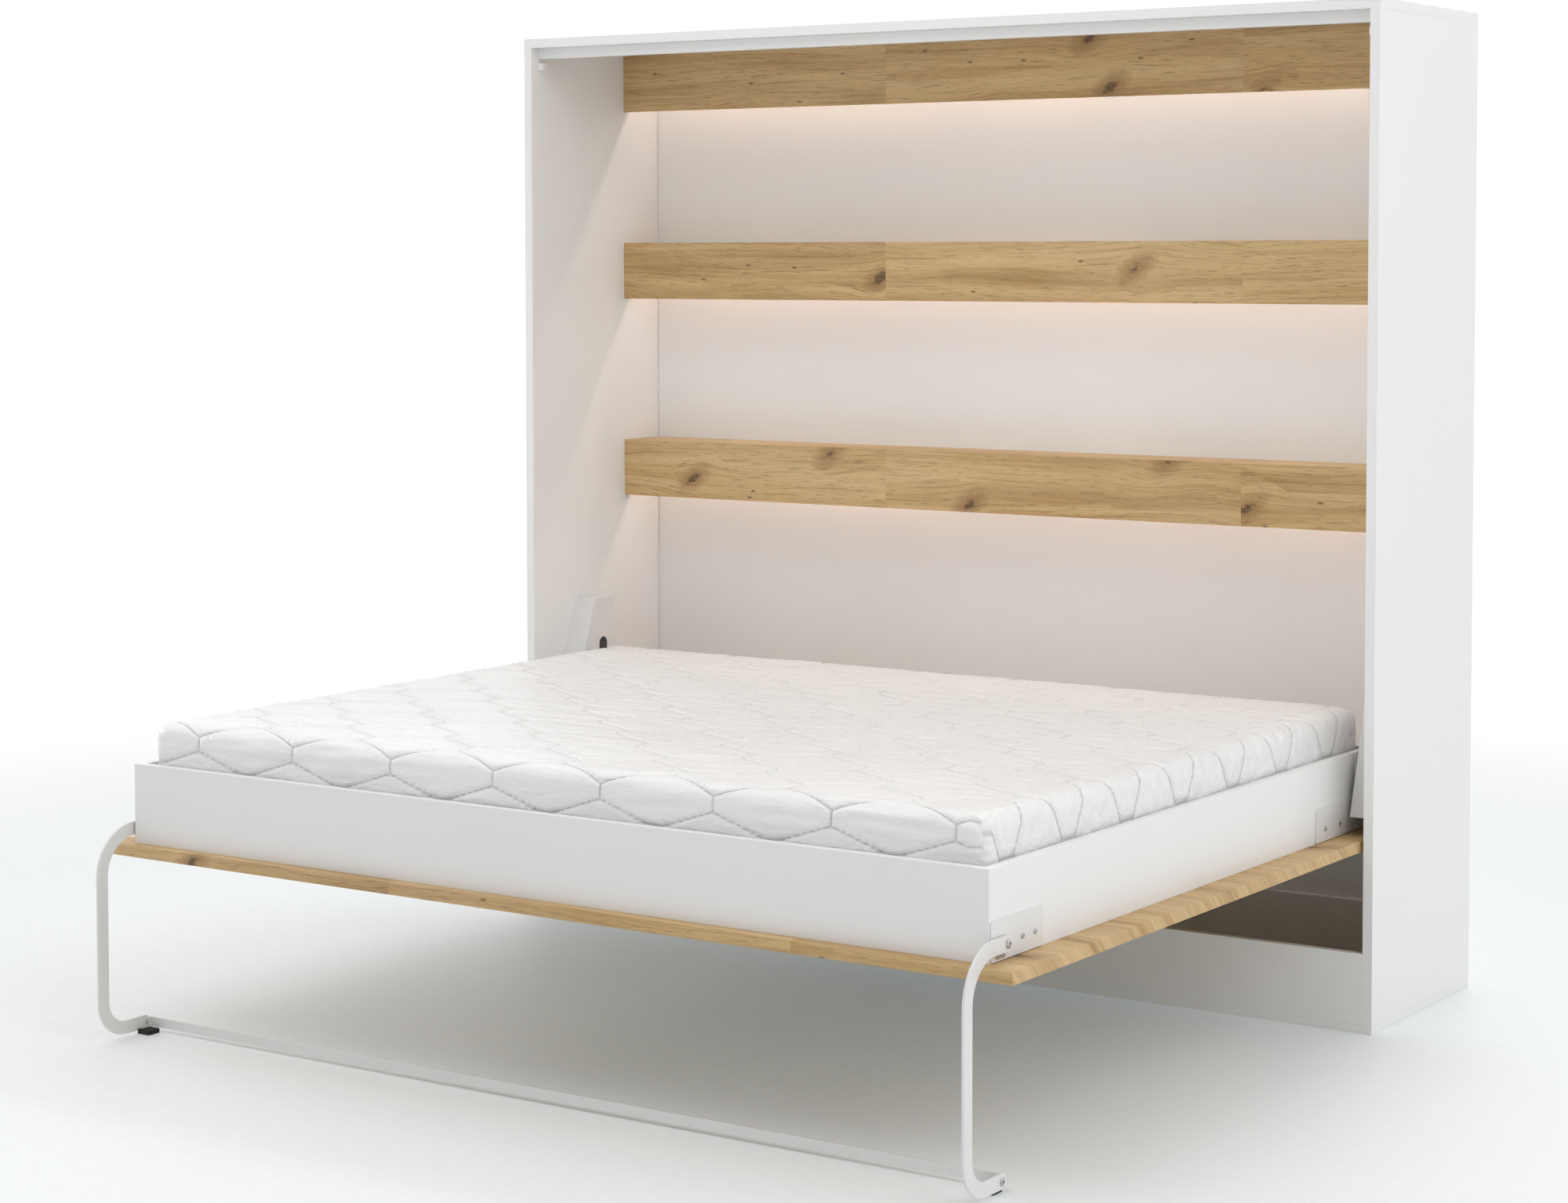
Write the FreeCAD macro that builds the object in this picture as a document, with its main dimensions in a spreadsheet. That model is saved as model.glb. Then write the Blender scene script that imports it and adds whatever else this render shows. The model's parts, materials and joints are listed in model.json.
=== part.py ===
import FreeCAD, Part
import math
import os
import re
import Sketcher

# A sideways-folding wall bed. The cabinet stands on the floor and the bed folds up into it.
# Origin: centre of the cabinet's footprint, on the floor. +X runs along the cabinet, +Y towards
# the wall and +Z up. The bed is modelled open, with its leg down.

SIZES = {
    # cabinet boards
    "cabinet_width": 2230, "cabinet_height": 2144, "cabinet_depth": 530,
    "side_thickness": 22, "top_thickness": 22, "base_thickness": 18,
    "back_thickness": 12, "back_gap": 1.5, "edge_radius": 0.8,
    "low_rail_height": 149, "rail_thickness": 18,
    # box beams with their lights, measured back from the cabinet's front
    "beam_setback": 372.5, "beam_height": 141, "beam_board": 22,
    "middle_beam_bottom": 1509.5, "lower_beam_bottom": 1010.8,
    "light_setback": 464, "light_width": 17, "light_height": 8, "light_wall": 1.5, "light_end_gap": 12,
    "driver_length": 160, "driver_width": 42, "driver_height": 18,
    # stops for the shut bed
    "stop_rail_setback": 27.5, "stop_rail_height": 25,
    "bumper_length": 14, "bumper_height": 17, "bumper_bottom": 2070,
    # wall fixing angles
    "angle_width": 40, "angle_leg": 44, "angle_sheet": 4, "wall_screw_radius": 4.5,
    "angle_spacing": 1600,
    # bed pivot, measured back from the cabinet's front and up from the floor
    "pivot_setback": 148.4, "pivot_height": 526.7,
    # bed panel and frame, measured forward (foot) and back (head) from the cabinet's front
    "panel_thickness": 24, "panel_bottom": 378.3, "panel_side_gap": 8.4,
    "panel_foot": 1442.8, "panel_head": 495,
    "frame_width": 2046, "frame_height": 165.7, "frame_board": 18,
    "frame_foot": 1417.8, "frame_head": 225,
    "beam_width": 60, "ledge_width": 25, "ledge_height": 37.7,
    # slats and mattress
    "slat_width": 68, "slat_thickness": 10, "slat_pitch": 145, "slat_count": 14,
    "slat_end_gap": 4, "slat_rest": 5,
    "mattress_length": 2000, "mattress_width": 1600, "mattress_height": 206,
    "mattress_foot": 1396, "mattress_edge": 22,
    # hinge plate on the bed, measured from the cabinet's front
    "plate_sheet": 3, "hinge_plate_foot": 85.6, "plate_lift": 2.2, "hinge_plate_height": 70,
    "hinge_plate_head": 190, "hinge_plate_step": 114, "hinge_plate_top": 562,
    "hinge_bolt_setback": 31.4, "hinge_bolt_spacing": 73.2, "hinge_bolt_height": 430,
    # pivot shaft, bush and crank
    "shaft_radius": 10, "shaft_flange_radius": 18, "shaft_flange": 4, "shaft_end": 29,
    "running_gap": 0.06, "bush_radius": 13, "bush_flange_radius": 16.5, "bush_flange": 2,
    "boss_radius": 19, "boss_length": 38,
    "crank_inset": 66, "crank_thickness": 6, "crank_radius": 16,
    "crank_back": 50, "crank_up": 42, "crank_pin_radius": 4, "crank_pin_length": 8.5,
    # mechanism cover
    "cover_depth": 58.3, "cover_sheet": 1.5, "cover_bottom": 440, "cover_top": 768.5,
    "cover_foot": 61, "cover_crown": 165, "cover_head": 251, "cover_bend": 2.5,
    "cover_bore_radius": 14.5, "slot_setback": 203, "slot_radius": 16, "slot_low": 588, "slot_high": 653,
    # bearing bracket on the cabinet side, inside the cover
    "bracket_foot": 122, "bracket_head": 240, "bracket_bottom": 460, "bracket_top": 762,
    "bracket_shoulder": 598, "bracket_crown": 170,
    "bracket_screw_radius": 2.75, "bracket_screw_head": 5.5, "screw_inset": 14,
    # gas spring between the bracket's stud and the crank's pin
    "stud_back": 30, "stud_up": 222, "stud_radius": 4, "stud_end": 2, "spring_inset": 50,
    "eye_radius": 9, "eye_width": 10, "tube_radius": 10, "tube_wall": 1.4, "tube_start": 15,
    "tube_end": 134, "rod_radius": 4, "rod_guide_gap": 0.3, "guide_length": 4, "spring_length": 181.1,
    "piston_length": 8, "piston_start": 24, "clip_radius": 6.5, "clip_thickness": 1, "clip_gap": 0.5,
    # leg bracket plate, leg and feet, measured forward from the cabinet's front
    "bracket_plate_foot": 1414.6, "bracket_plate_length": 182.6, "bracket_plate_height": 71.2,
    "plate_corner": 5, "leg_pivot_foot": 1369.6, "leg_pivot_height": 432,
    "fix_bolt_foot": 1306, "fix_bolt_spacing": 44, "fix_bolt_height": 434,
    "stop_bolt_foot": 1394.7, "stop_bolt_height": 412.6, "stop_bolt_spacing": 16.8,
    "leg_bar_width": 28, "leg_bar_thickness": 5, "leg_gap": 3, "leg_arm": 45, "leg_top_bend": 90,
    "leg_foot_bend": 60, "leg_foot_height": 20, "leg_toe": 19.4,
    "cross_height": 20, "cross_bottom": 9.2, "cross_thickness": 5, "cross_back": 11.7,
    "cross_tab": 30, "cross_bend": 5,
    "pad_length": 32, "pad_width": 32, "pad_height": 9.2, "pad_foot": 1412,
    # bolts
    "bolt_radius": 3, "bolt_head_radius": 5.2, "bolt_head": 2.6, "bolt_grip": 15,
    "stop_head_radius": 4.2, "stop_head": 5.2, "stop_shank_radius": 2.5,
    "pivot_bolt_radius": 5, "pivot_head_radius": 8, "pivot_head": 3.4, "washer_gap": 0.3,
    "cross_bolt_radius": 4, "cross_head_radius": 7, "cross_head": 3,
}

doc = FreeCAD.newDocument("WallBed")
sheet = doc.addObject("Spreadsheet::Sheet", "Sizes")
for row, (alias, number) in enumerate(SIZES.items(), start=1):
    sheet.set("A%d" % row, alias.replace("_", " "))
    sheet.set("B%d" % row, str(number))
    sheet.setAlias("B%d" % row, alias)
doc.recompute()

FRONT = "-cabinet_depth / 2"                    # Y of the cabinet's front plane
BACK = "cabinet_depth / 2"
LEFT = "-cabinet_width / 2"                     # X of the cabinet's outer side
INNER_WIDTH = "(cabinet_width - 2 * side_thickness)"
RAIL_FACE = "-frame_width / 2"                  # X of the bed frame's outer side
PANEL_TOP = "panel_bottom + panel_thickness"
PIVOT_Y = FRONT + " + pivot_setback"
PIVOT = (PIVOT_Y, "pivot_height")
LEG_PIVOT_Y = FRONT + " - leg_pivot_foot"
FIX_BOLTS = ("fix_bolt_foot", "(fix_bolt_foot - fix_bolt_spacing)")
STOP_BOLTS = ("stop_bolt_foot", "(stop_bolt_foot - stop_bolt_spacing)")
HINGE_BOLTS = ("hinge_bolt_setback", "(hinge_bolt_setback - hinge_bolt_spacing)")
parts = {}


def dim(text):
    """The expression with each size's alias turned into a reference to its cell."""
    return re.sub(r"[a-z]+(_[a-z]+)+", lambda word: "Sizes." + word.group(), str(text))


gauge = doc.addObject("App::FeaturePython", "Gauge")
gauge.addProperty("App::PropertyFloat", "Reading")


def measure(text):
    """The present value of an expression, so that a sketch is drawn at its true size before it is bound."""
    gauge.setExpression("Reading", dim(text))
    gauge.recompute()
    return gauge.Reading


def point(u, v):
    return FreeCAD.Vector(measure(u), measure(v), 0)


def place(piece, x="0", y="0", z="0"):
    for axis, text in zip("xyz", (x, y, z)):
        piece.setExpression("Placement.Base." + axis, dim(text))


def keep(label, piece):
    """Names a finished sub-part, which is written to a file of its own."""
    piece.Label = label
    parts[label] = piece
    return piece


def new_body(name):
    body = doc.addObject("PartDesign::Body", name)
    body.AllowCompound = True
    return body


def origin(body, role):
    return next(item for item in body.Origin.OriginFeatures if item.Role == role)


def new_sketch(body, name, plane="YZ_Plane", lift=None):
    """A sketch on one of the body's origin planes, moved along its normal by lift."""
    sketch = body.newObject("Sketcher::SketchObject", name)
    sketch.AttachmentSupport = (origin(body, plane), [""])
    sketch.MapMode = "FlatFace"
    if lift is not None:
        sketch.setExpression("AttachmentOffset.Base.z", dim(lift))
    return sketch


def bind(sketch, kind, args, text):
    """Adds one dimension to a sketch and binds it to the sheet."""
    number = sketch.addConstraint(Sketcher.Constraint(kind, *args, measure(text)))
    sketch.setExpression("Constraints[%d]" % number, dim(text))


def pin_point(sketch, shape, point, u, v):
    bind(sketch, "DistanceX", (-1, 1, shape, point), u)
    bind(sketch, "DistanceY", (-1, 1, shape, point), v)


def add_polygon(sketch, corners):
    """A closed outline through the corners, each a pair of expressions."""
    count = len(corners)
    points = [point(u, v) for u, v in corners]
    first = sketch.GeometryCount
    for k in range(count):
        sketch.addGeometry(Part.LineSegment(points[k], points[(k + 1) % count]))
    for k in range(count):
        sketch.addConstraint(Sketcher.Constraint("Coincident", first + k, 2, first + (k + 1) % count, 1))
    for k, (u, v) in enumerate(corners):
        pin_point(sketch, first + k, 1, u, v)


UPWARD = FreeCAD.Vector(0, 0, 1)


def add_circle(sketch, u, v, radius):
    shape = sketch.addGeometry(Part.Circle(point(u, v), UPWARD, measure(radius)))
    pin_point(sketch, shape, 3, u, v)
    bind(sketch, "Radius", (shape,), radius)


def add_slot(sketch, start, end, radius):
    """A slot with round ends whose centres are start and end; end lies straight above start."""
    low_centre, high_centre = point(*start), point(*end)
    reach = measure(radius)
    side = FreeCAD.Vector(reach, 0, 0)
    low = sketch.addGeometry(Part.ArcOfCircle(Part.Circle(low_centre, UPWARD, reach), math.pi, math.tau))
    high = sketch.addGeometry(Part.ArcOfCircle(Part.Circle(high_centre, UPWARD, reach), 0, math.pi))
    right = sketch.addGeometry(Part.LineSegment(low_centre + side, high_centre + side))
    left = sketch.addGeometry(Part.LineSegment(high_centre - side, low_centre - side))
    for one, end_of_one, other, end_of_other in ((low, 2, right, 1), (right, 2, high, 1),
                                                 (high, 2, left, 1), (left, 2, low, 1)):
        sketch.addConstraint(Sketcher.Constraint("Tangent", one, end_of_one, other, end_of_other))
    pin_point(sketch, low, 3, *start)
    pin_point(sketch, high, 3, *end)
    bind(sketch, "Radius", (low,), radius)


def pad(body, sketch, length, back=False):
    feature = body.newObject("PartDesign::Pad", "Pad")
    feature.Profile = sketch
    feature.Reversed = back
    feature.setExpression("Length", dim(length))
    doc.recompute()
    return feature


def pocket(body, sketch, length, back=False):
    """Cuts against the sketch's normal, or along it with back; a cut that removes nothing is an error."""
    before = body.Shape.Volume
    feature = body.newObject("PartDesign::Pocket", "Pocket")
    feature.Profile = sketch
    feature.Reversed = back
    feature.setExpression("Length", dim(length))
    doc.recompute()
    if body.Shape.Volume >= before:
        raise RuntimeError(body.Name + ": the pocket cuts nothing")
    return feature


def turn(body, name, outline):
    """Revolves an outline of (along X, radius) corners about the body's X axis."""
    sketch = new_sketch(body, name, "XY_Plane")
    add_polygon(sketch, outline)
    feature = body.newObject("PartDesign::Revolution", "Turned")
    feature.Profile = sketch
    feature.ReferenceAxis = (sketch, ["H_Axis"])
    doc.recompute()
    return feature


def rounded(body, base, radius, edges=None):
    """Rounds the named edges of a feature, or all of them."""
    feature = body.newObject("PartDesign::Fillet", "Rounded")
    feature.Base = (base, edges or [""])
    feature.UseAllEdges = edges is None
    feature.setExpression("Radius", dim(radius))
    doc.recompute()
    return feature


def edges_along(feature, axis):
    """Names of the feature's straight edges that run along one axis."""
    names = []
    for number, edge in enumerate(feature.Shape.Edges, start=1):
        if isinstance(edge.Curve, Part.Line) and abs(abs(getattr(edge.Curve.Direction, axis)) - 1) < 1e-6:
            names.append("Edge%d" % number)
    return names


def block(body, size):
    feature = body.newObject("PartDesign::AdditiveBox", "Block")
    for side, text in zip(("Length", "Width", "Height"), size):
        feature.setExpression(side, dim(text))
    doc.recompute()
    return feature


def board(label, corner, size, radius="edge_radius"):
    """A board with eased edges, from its lowest corner and its size."""
    body = new_body(label)
    place(body, *corner)
    rounded(body, block(body, size), radius)
    return keep(label, body)


def mirror(name, source):
    """The same piece on the cabinet's other side."""
    copy = doc.addObject("Part::Mirroring", name)
    copy.Source = source
    copy.Normal = FreeCAD.Vector(1, 0, 0)
    return copy


def other_side(label, source):
    return keep(label, mirror(label, source))


def group(label, members):
    """Identical small pieces that share one node."""
    compound = doc.addObject("Part::Compound", label)
    compound.Links = members
    return keep(label, compound)


def both_sides(label, members):
    return group(label, members + [mirror(member.Name + "_far", member) for member in members])


def bolt(name, spot, head_radius, head, shank_radius, shank, turned=False):
    """A button-head bolt with a hexagon socket. Its head sits at spot and faces -X, or +X when turned."""
    body = new_body(name)
    outline = [("0", "0"), ("%s + %s" % (head, shank), "0"), ("%s + %s" % (head, shank), shank_radius),
               (head, shank_radius), (head, head_radius), ("0.45 * " + head, head_radius),
               ("0", "0.62 * " + head_radius)]
    turn(body, name + "_outline", outline)
    socket = body.newObject("PartDesign::SubtractivePrism", "Socket")
    socket.AttachmentSupport = (origin(body, "YZ_Plane"), [""])
    socket.MapMode = "FlatFace"
    socket.Polygon = 6
    socket.setExpression("Circumradius", dim("0.42 * " + head_radius))
    socket.setExpression("Height", dim("0.6 * " + head))
    doc.recompute()
    x, y, z = spot
    place(body, "%s %s %s" % (x, "+" if turned else "-", head), y, z)
    if turned:
        body.setExpression("Placement.Rotation.Angle", "180")
    return body


def plate_with_holes(body, corners, holes, thickness, radius):
    """A plate in the YZ plane with rounded corners and (y, z, radius) holes, thickened along +X."""
    sketch = new_sketch(body, body.Name + "_outline")
    add_polygon(sketch, corners)
    blank = pad(body, sketch, thickness)
    rounded(body, blank, radius, edges_along(blank, "x"))
    drilled = new_sketch(body, body.Name + "_holes")
    for u, v, hole in holes:
        add_circle(drilled, u, v, hole)
    pocket(body, drilled, thickness, back=True)


# ---------------------------------------------------------------- cabinet boards
side_height = "cabinet_height - top_thickness - base_thickness"
left_side = board("left_side_panel", (LEFT, FRONT, "base_thickness"),
                  ("side_thickness", "cabinet_depth", side_height))
other_side("right_side_panel", left_side)
board("top_board", (LEFT, FRONT, "cabinet_height - top_thickness"),
      ("cabinet_width", "cabinet_depth", "top_thickness"))
board("base_board", (LEFT, FRONT, "0"), ("cabinet_width", "cabinet_depth", "base_thickness"))

inner_left = "-%s / 2" % INNER_WIDTH
for label, y in (("front_skirt", FRONT), ("rear_lower_rail", BACK + " - back_thickness - rail_thickness")):
    board(label, (inner_left, y, "base_thickness"), (INNER_WIDTH, "rail_thickness", "low_rail_height"))
board("top_stop_rail",
      (inner_left, FRONT + " + stop_rail_setback", "cabinet_height - top_thickness - stop_rail_height"),
      (INNER_WIDTH, "rail_thickness", "stop_rail_height"))

# box beams: a front board, and a shelf board behind its top edge that reaches the back panel
beam_bottoms = {"upper": "cabinet_height - top_thickness - beam_height",
                "middle": "middle_beam_bottom", "lower": "lower_beam_bottom"}
shelf_depth = "cabinet_depth - beam_setback - beam_board - back_thickness"
for level, bottom in beam_bottoms.items():
    board(level + "_beam_front", (inner_left, FRONT + " + beam_setback", bottom),
          (INNER_WIDTH, "beam_board", "beam_height"))
    board(level + "_beam_shelf",
          (inner_left, FRONT + " + beam_setback + beam_board", bottom + " + beam_height - beam_board"),
          (INNER_WIDTH, shelf_depth, "beam_board"))

# the back panel, drilled for the wall screws under the upper and the middle shelf
back = new_body("back_panel")
back_width = "(%s - 2 * back_gap)" % INNER_WIDTH
back_block = block(back, (back_width, "back_thickness", side_height))
drill = new_sketch(back, "wall_screw_holes", "XZ_Plane")
shelf_undersides = [beam_bottoms[level] + " + beam_height - beam_board" for level in ("upper", "middle")]
for underside in shelf_undersides:
    for side in ("-", "+"):
        add_circle(drill, "%s / 2 %s angle_spacing / 2" % (back_width, side),
                   "%s - base_thickness - angle_leg / 2" % underside, "wall_screw_radius")
pocket(back, drill, "back_thickness")
place(back, "-%s / 2" % back_width, BACK + " - back_thickness", "base_thickness")
keep("back_panel", back)

angles = []
for number, underside in enumerate(shelf_undersides, start=1):
    angle = new_body("wall_angle_%d" % number)
    section = new_sketch(angle, "angle_section_%d" % number)
    inside = "angle_leg - angle_sheet"
    add_polygon(section, [("angle_leg", "0"), ("angle_leg", "angle_leg"), ("0", "angle_leg"), ("0", inside),
                          (inside, inside), (inside, "0")])
    pad(angle, section, "angle_width")
    hole = new_sketch(angle, "angle_hole_%d" % number, "XZ_Plane", "-angle_leg")
    add_circle(hole, "angle_width / 2", "angle_leg / 2", "wall_screw_radius")
    pocket(angle, hole, "2 * angle_sheet", back=True)
    place(angle, "-(angle_spacing + angle_width) / 2", BACK + " - back_thickness - angle_leg",
          underside + " - angle_leg")
    angles.append(angle)
both_sides("wall_angles", angles)

# ---------------------------------------------------------------- lights under the shelves
light_length = "(%s - 2 * light_end_gap)" % INNER_WIDTH
channels = []
diffusers = []
for level, bottom in beam_bottoms.items():
    top = bottom + " + beam_height - beam_board"
    channel = new_body(level + "_light_channel")
    section = new_sketch(channel, level + "_channel_section")
    far_wall = "light_width - light_wall"
    roof = "light_height - light_wall"
    add_polygon(section, [("0", "0"), ("light_wall", "0"), ("light_wall", roof), (far_wall, roof),
                          (far_wall, "0"), ("light_width", "0"), ("light_width", "light_height"),
                          ("0", "light_height")])
    pad(channel, section, light_length)
    place(channel, "-%s / 2" % light_length, FRONT + " + light_setback - light_width / 2",
          top + " - light_height")
    channels.append(channel)
    diffuser = new_body(level + "_light_diffuser")
    block(diffuser, (light_length, "light_width - 2 * light_wall", "light_wall"))
    place(diffuser, "-%s / 2" % light_length, FRONT + " + light_setback - light_width / 2 + light_wall",
          top + " - light_height")
    diffusers.append(diffuser)
group("light_channels", channels)
group("light_diffusers", diffusers)
board("light_driver",
      ("cabinet_width / 2 - side_thickness - 2 * driver_length",
       FRONT + " + beam_setback + beam_board + light_width",
       beam_bottoms["upper"] + " + beam_height - beam_board - driver_height"),
      ("driver_length", "driver_width", "driver_height"), "2 * edge_radius")

# ---------------------------------------------------------------- stops for the shut bed
bumper = new_body("left_bumper")
rounded(bumper, block(bumper, ("bumper_length", "rail_thickness", "bumper_height")), "edge_radius")
place(bumper, inner_left, FRONT + " + stop_rail_setback", "bumper_bottom")
both_sides("bumper_blocks", [bumper])

# ---------------------------------------------------------------- mechanism cover
cover = new_body("left_mechanism_cover")
outline = new_sketch(cover, "cover_outline")
cover_rise = "cover_top - cover_bottom"
add_polygon(outline, [("0", "0"), ("cover_head - cover_foot", "0"), ("cover_head - cover_foot", cover_rise),
                      ("cover_crown - cover_foot", cover_rise)])
folded = pad(cover, outline, "cover_depth")
inner_face = max(folded.Shape.Faces, key=lambda face: face.CenterOfMass.x)
bends = ["Edge%d" % number for number, edge in enumerate(folded.Shape.Edges, start=1)
         if any(edge.isSame(other) for other in inner_face.Edges) and edge.CenterOfMass.z > 1]
rounded(cover, folded, "cover_bend", bends)
slant_run = "(cover_crown - cover_foot)"
slant_gap = "cover_sheet * sqrt(%s ^ 2 + (%s) ^ 2) / (%s)" % (slant_run, cover_rise, cover_rise)
hollow = new_sketch(cover, "cover_hollow")
add_polygon(hollow, [(slant_gap, "0"), ("cover_head - cover_foot - cover_sheet", "0"),
                     ("cover_head - cover_foot - cover_sheet", cover_rise + " - cover_sheet"),
                     ("%s + %s * (%s - cover_sheet) / (%s)" % (slant_gap, slant_run, cover_rise, cover_rise),
                      cover_rise + " - cover_sheet")])
pocket(cover, hollow, "cover_depth - cover_sheet", back=True)
windows = new_sketch(cover, "cover_windows", lift="cover_depth")
add_circle(windows, "pivot_setback - cover_foot", "pivot_height - cover_bottom", "cover_bore_radius")
add_slot(windows, ("slot_setback - cover_foot", "slot_low - cover_bottom"),
         ("slot_setback - cover_foot", "slot_high - cover_bottom"), "slot_radius")
pocket(cover, windows, "2 * cover_sheet")
place(cover, inner_left, FRONT + " + cover_foot", "cover_bottom")
keep("left_mechanism_cover", cover)
other_side("right_mechanism_cover", cover)

# ---------------------------------------------------------------- bearing bracket inside the cover
bracket = new_body("left_hinge_bracket")
pivot_in = ("pivot_setback - bracket_foot", "pivot_height - bracket_bottom")
bracket_screws = [("screw_inset", "screw_inset"),
                  ("bracket_head - bracket_foot - screw_inset", "screw_inset"),
                  ("bracket_head - bracket_foot - screw_inset", "bracket_top - bracket_bottom - screw_inset"),
                  ("screw_inset", "bracket_shoulder - bracket_bottom - screw_inset")]
plate_with_holes(
    bracket,
    [("0", "0"), ("bracket_head - bracket_foot", "0"),
     ("bracket_head - bracket_foot", "bracket_top - bracket_bottom"),
     ("bracket_crown - bracket_foot", "bracket_top - bracket_bottom"),
     ("0", "bracket_shoulder - bracket_bottom")],
    [(u, v, "bracket_screw_radius") for u, v in bracket_screws], "plate_sheet", "plate_corner")
boss = new_sketch(bracket, "boss", lift="plate_sheet")
add_circle(boss, *pivot_in, "boss_radius")
pad(bracket, boss, "boss_length - plate_sheet")
boss_bore = new_sketch(bracket, "boss_bore", lift="boss_length")
add_circle(boss_bore, *pivot_in, "bush_radius")
pocket(bracket, boss_bore, "boss_length - plate_sheet")
stud = new_sketch(bracket, "spring_stud", lift="plate_sheet")
add_circle(stud, pivot_in[0] + " + stud_back", pivot_in[1] + " + stud_up", "stud_radius")
pad(bracket, stud, "spring_inset + eye_width / 2 + stud_end - side_thickness - plate_sheet")
place(bracket, inner_left, FRONT + " + bracket_foot", "bracket_bottom")
keep("left_hinge_bracket", bracket)
other_side("right_hinge_bracket", bracket)

both_sides("bracket_screws", [
    bolt("bracket_screw_%d" % number,
         (inner_left + " + plate_sheet", "%s + bracket_foot + %s" % (FRONT, u), "bracket_bottom + " + v),
         "bracket_screw_head", "bolt_head", "bracket_screw_radius", "plate_sheet", turned=True)
    for number, (u, v) in enumerate(bracket_screws, start=1)])

bush = new_body("left_pivot_bush")
turn(bush, "bush_section", [("0", "shaft_radius + running_gap"), ("boss_length - plate_sheet + bush_flange",
                             "shaft_radius + running_gap"),
                            ("boss_length - plate_sheet + bush_flange", "bush_flange_radius"),
                            ("boss_length - plate_sheet", "bush_flange_radius"),
                            ("boss_length - plate_sheet", "bush_radius"), ("0", "bush_radius")])
place(bush, inner_left + " + plate_sheet", *PIVOT)
both_sides("pivot_bushes", [bush])

clip = new_body("left_spring_clip")
turn(clip, "clip_section", [("0", "stud_radius"), ("clip_thickness", "stud_radius"),
                            ("clip_thickness", "clip_radius"), ("0", "clip_radius")])
place(clip, LEFT + " + spring_inset + eye_width / 2 + clip_gap",
      PIVOT_Y + " + stud_back", "pivot_height + stud_up")
both_sides("spring_clips", [clip])

# ---------------------------------------------------------------- gas spring
# Its tube hangs from the bracket's stud and its rod reaches for the crank's pin. The rod's eye
# is not joined to the pin, because the linkage is opened there: the pin stops just short of it.
lean = "atan((crank_back - stud_back) / (stud_up - crank_up))"


def lean_about_x(body, angle):
    """Turns a body about the cabinet's long axis."""
    body.setExpression("Placement.Rotation.Axis.x", "1")
    body.setExpression("Placement.Rotation.Axis.z", "0")
    body.setExpression("Placement.Rotation.Angle", dim(angle))


def hang_from_stud(body):
    place(body, LEFT + " + spring_inset", PIVOT_Y + " + stud_back", "pivot_height + stud_up")
    lean_about_x(body, lean)


def eye(body, name, drop):
    """An eye across the spring's axis, drop below the stud."""
    ring = new_sketch(body, name, lift="-eye_width / 2")
    add_circle(ring, "0", "-(%s)" % drop, "eye_radius")
    pad(body, ring, "eye_width")


def round_bar(body, name, start, end, radius):
    """A round length of the spring, between two distances below the stud."""
    sketch = new_sketch(body, name, "XY_Plane", "-(%s)" % end)
    add_circle(sketch, "0", "0", radius)
    return pad(body, sketch, "%s - (%s)" % (end, start))


def bore_eye(body, name, drop, bore):
    sketch = new_sketch(body, name, lift="eye_width")
    add_circle(sketch, "0", "-(%s)" % drop, bore)
    pocket(body, sketch, "2 * eye_width")


cylinder = new_body("left_gas_cylinder")
eye(cylinder, "upper_eye", "0")
round_bar(cylinder, "neck", "eye_radius - 2", "tube_start", "0.6 * tube_radius")
round_bar(cylinder, "tube", "tube_start", "tube_end", "tube_radius")
cavity = new_sketch(cylinder, "cavity", "XY_Plane", "-(tube_start + guide_length)")
add_circle(cavity, "0", "0", "tube_radius - tube_wall")
pocket(cylinder, cavity, "tube_end - tube_start - 2 * guide_length")
guide = new_sketch(cylinder, "rod_guide", "XY_Plane", "-(tube_end - 2 * guide_length)")
add_circle(guide, "0", "0", "rod_radius + rod_guide_gap")
pocket(cylinder, guide, "3 * guide_length")
bore_eye(cylinder, "upper_eye_bore", "0", "stud_radius + running_gap")
hang_from_stud(cylinder)
keep("left_gas_cylinder", cylinder)
other_side("right_gas_cylinder", cylinder)

rod = new_body("left_gas_rod")
eye(rod, "lower_eye", "spring_length")
round_bar(rod, "shank", "piston_start", "spring_length - eye_radius + 1", "rod_radius")
round_bar(rod, "piston", "piston_start", "piston_start + piston_length",
          "tube_radius - tube_wall - rod_guide_gap")
bore_eye(rod, "lower_eye_bore", "spring_length", "crank_pin_radius + running_gap")
hang_from_stud(rod)
keep("left_gas_rod", rod)
other_side("right_gas_rod", rod)

# ---------------------------------------------------------------- bed panel and frame
panel_width = "(%s - 2 * panel_side_gap)" % INNER_WIDTH
board("front_panel", ("-%s / 2" % panel_width, FRONT + " - panel_foot", "panel_bottom"),
      (panel_width, "panel_foot + panel_head", "panel_thickness"))
board("footboard", (RAIL_FACE, FRONT + " - frame_foot", PANEL_TOP),
      ("frame_width", "frame_board", "frame_height"))
board("head_rail", (RAIL_FACE + " + frame_board", FRONT + " + frame_head - frame_board", PANEL_TOP),
      ("frame_width - 2 * frame_board", "frame_board", "frame_height"))

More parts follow.
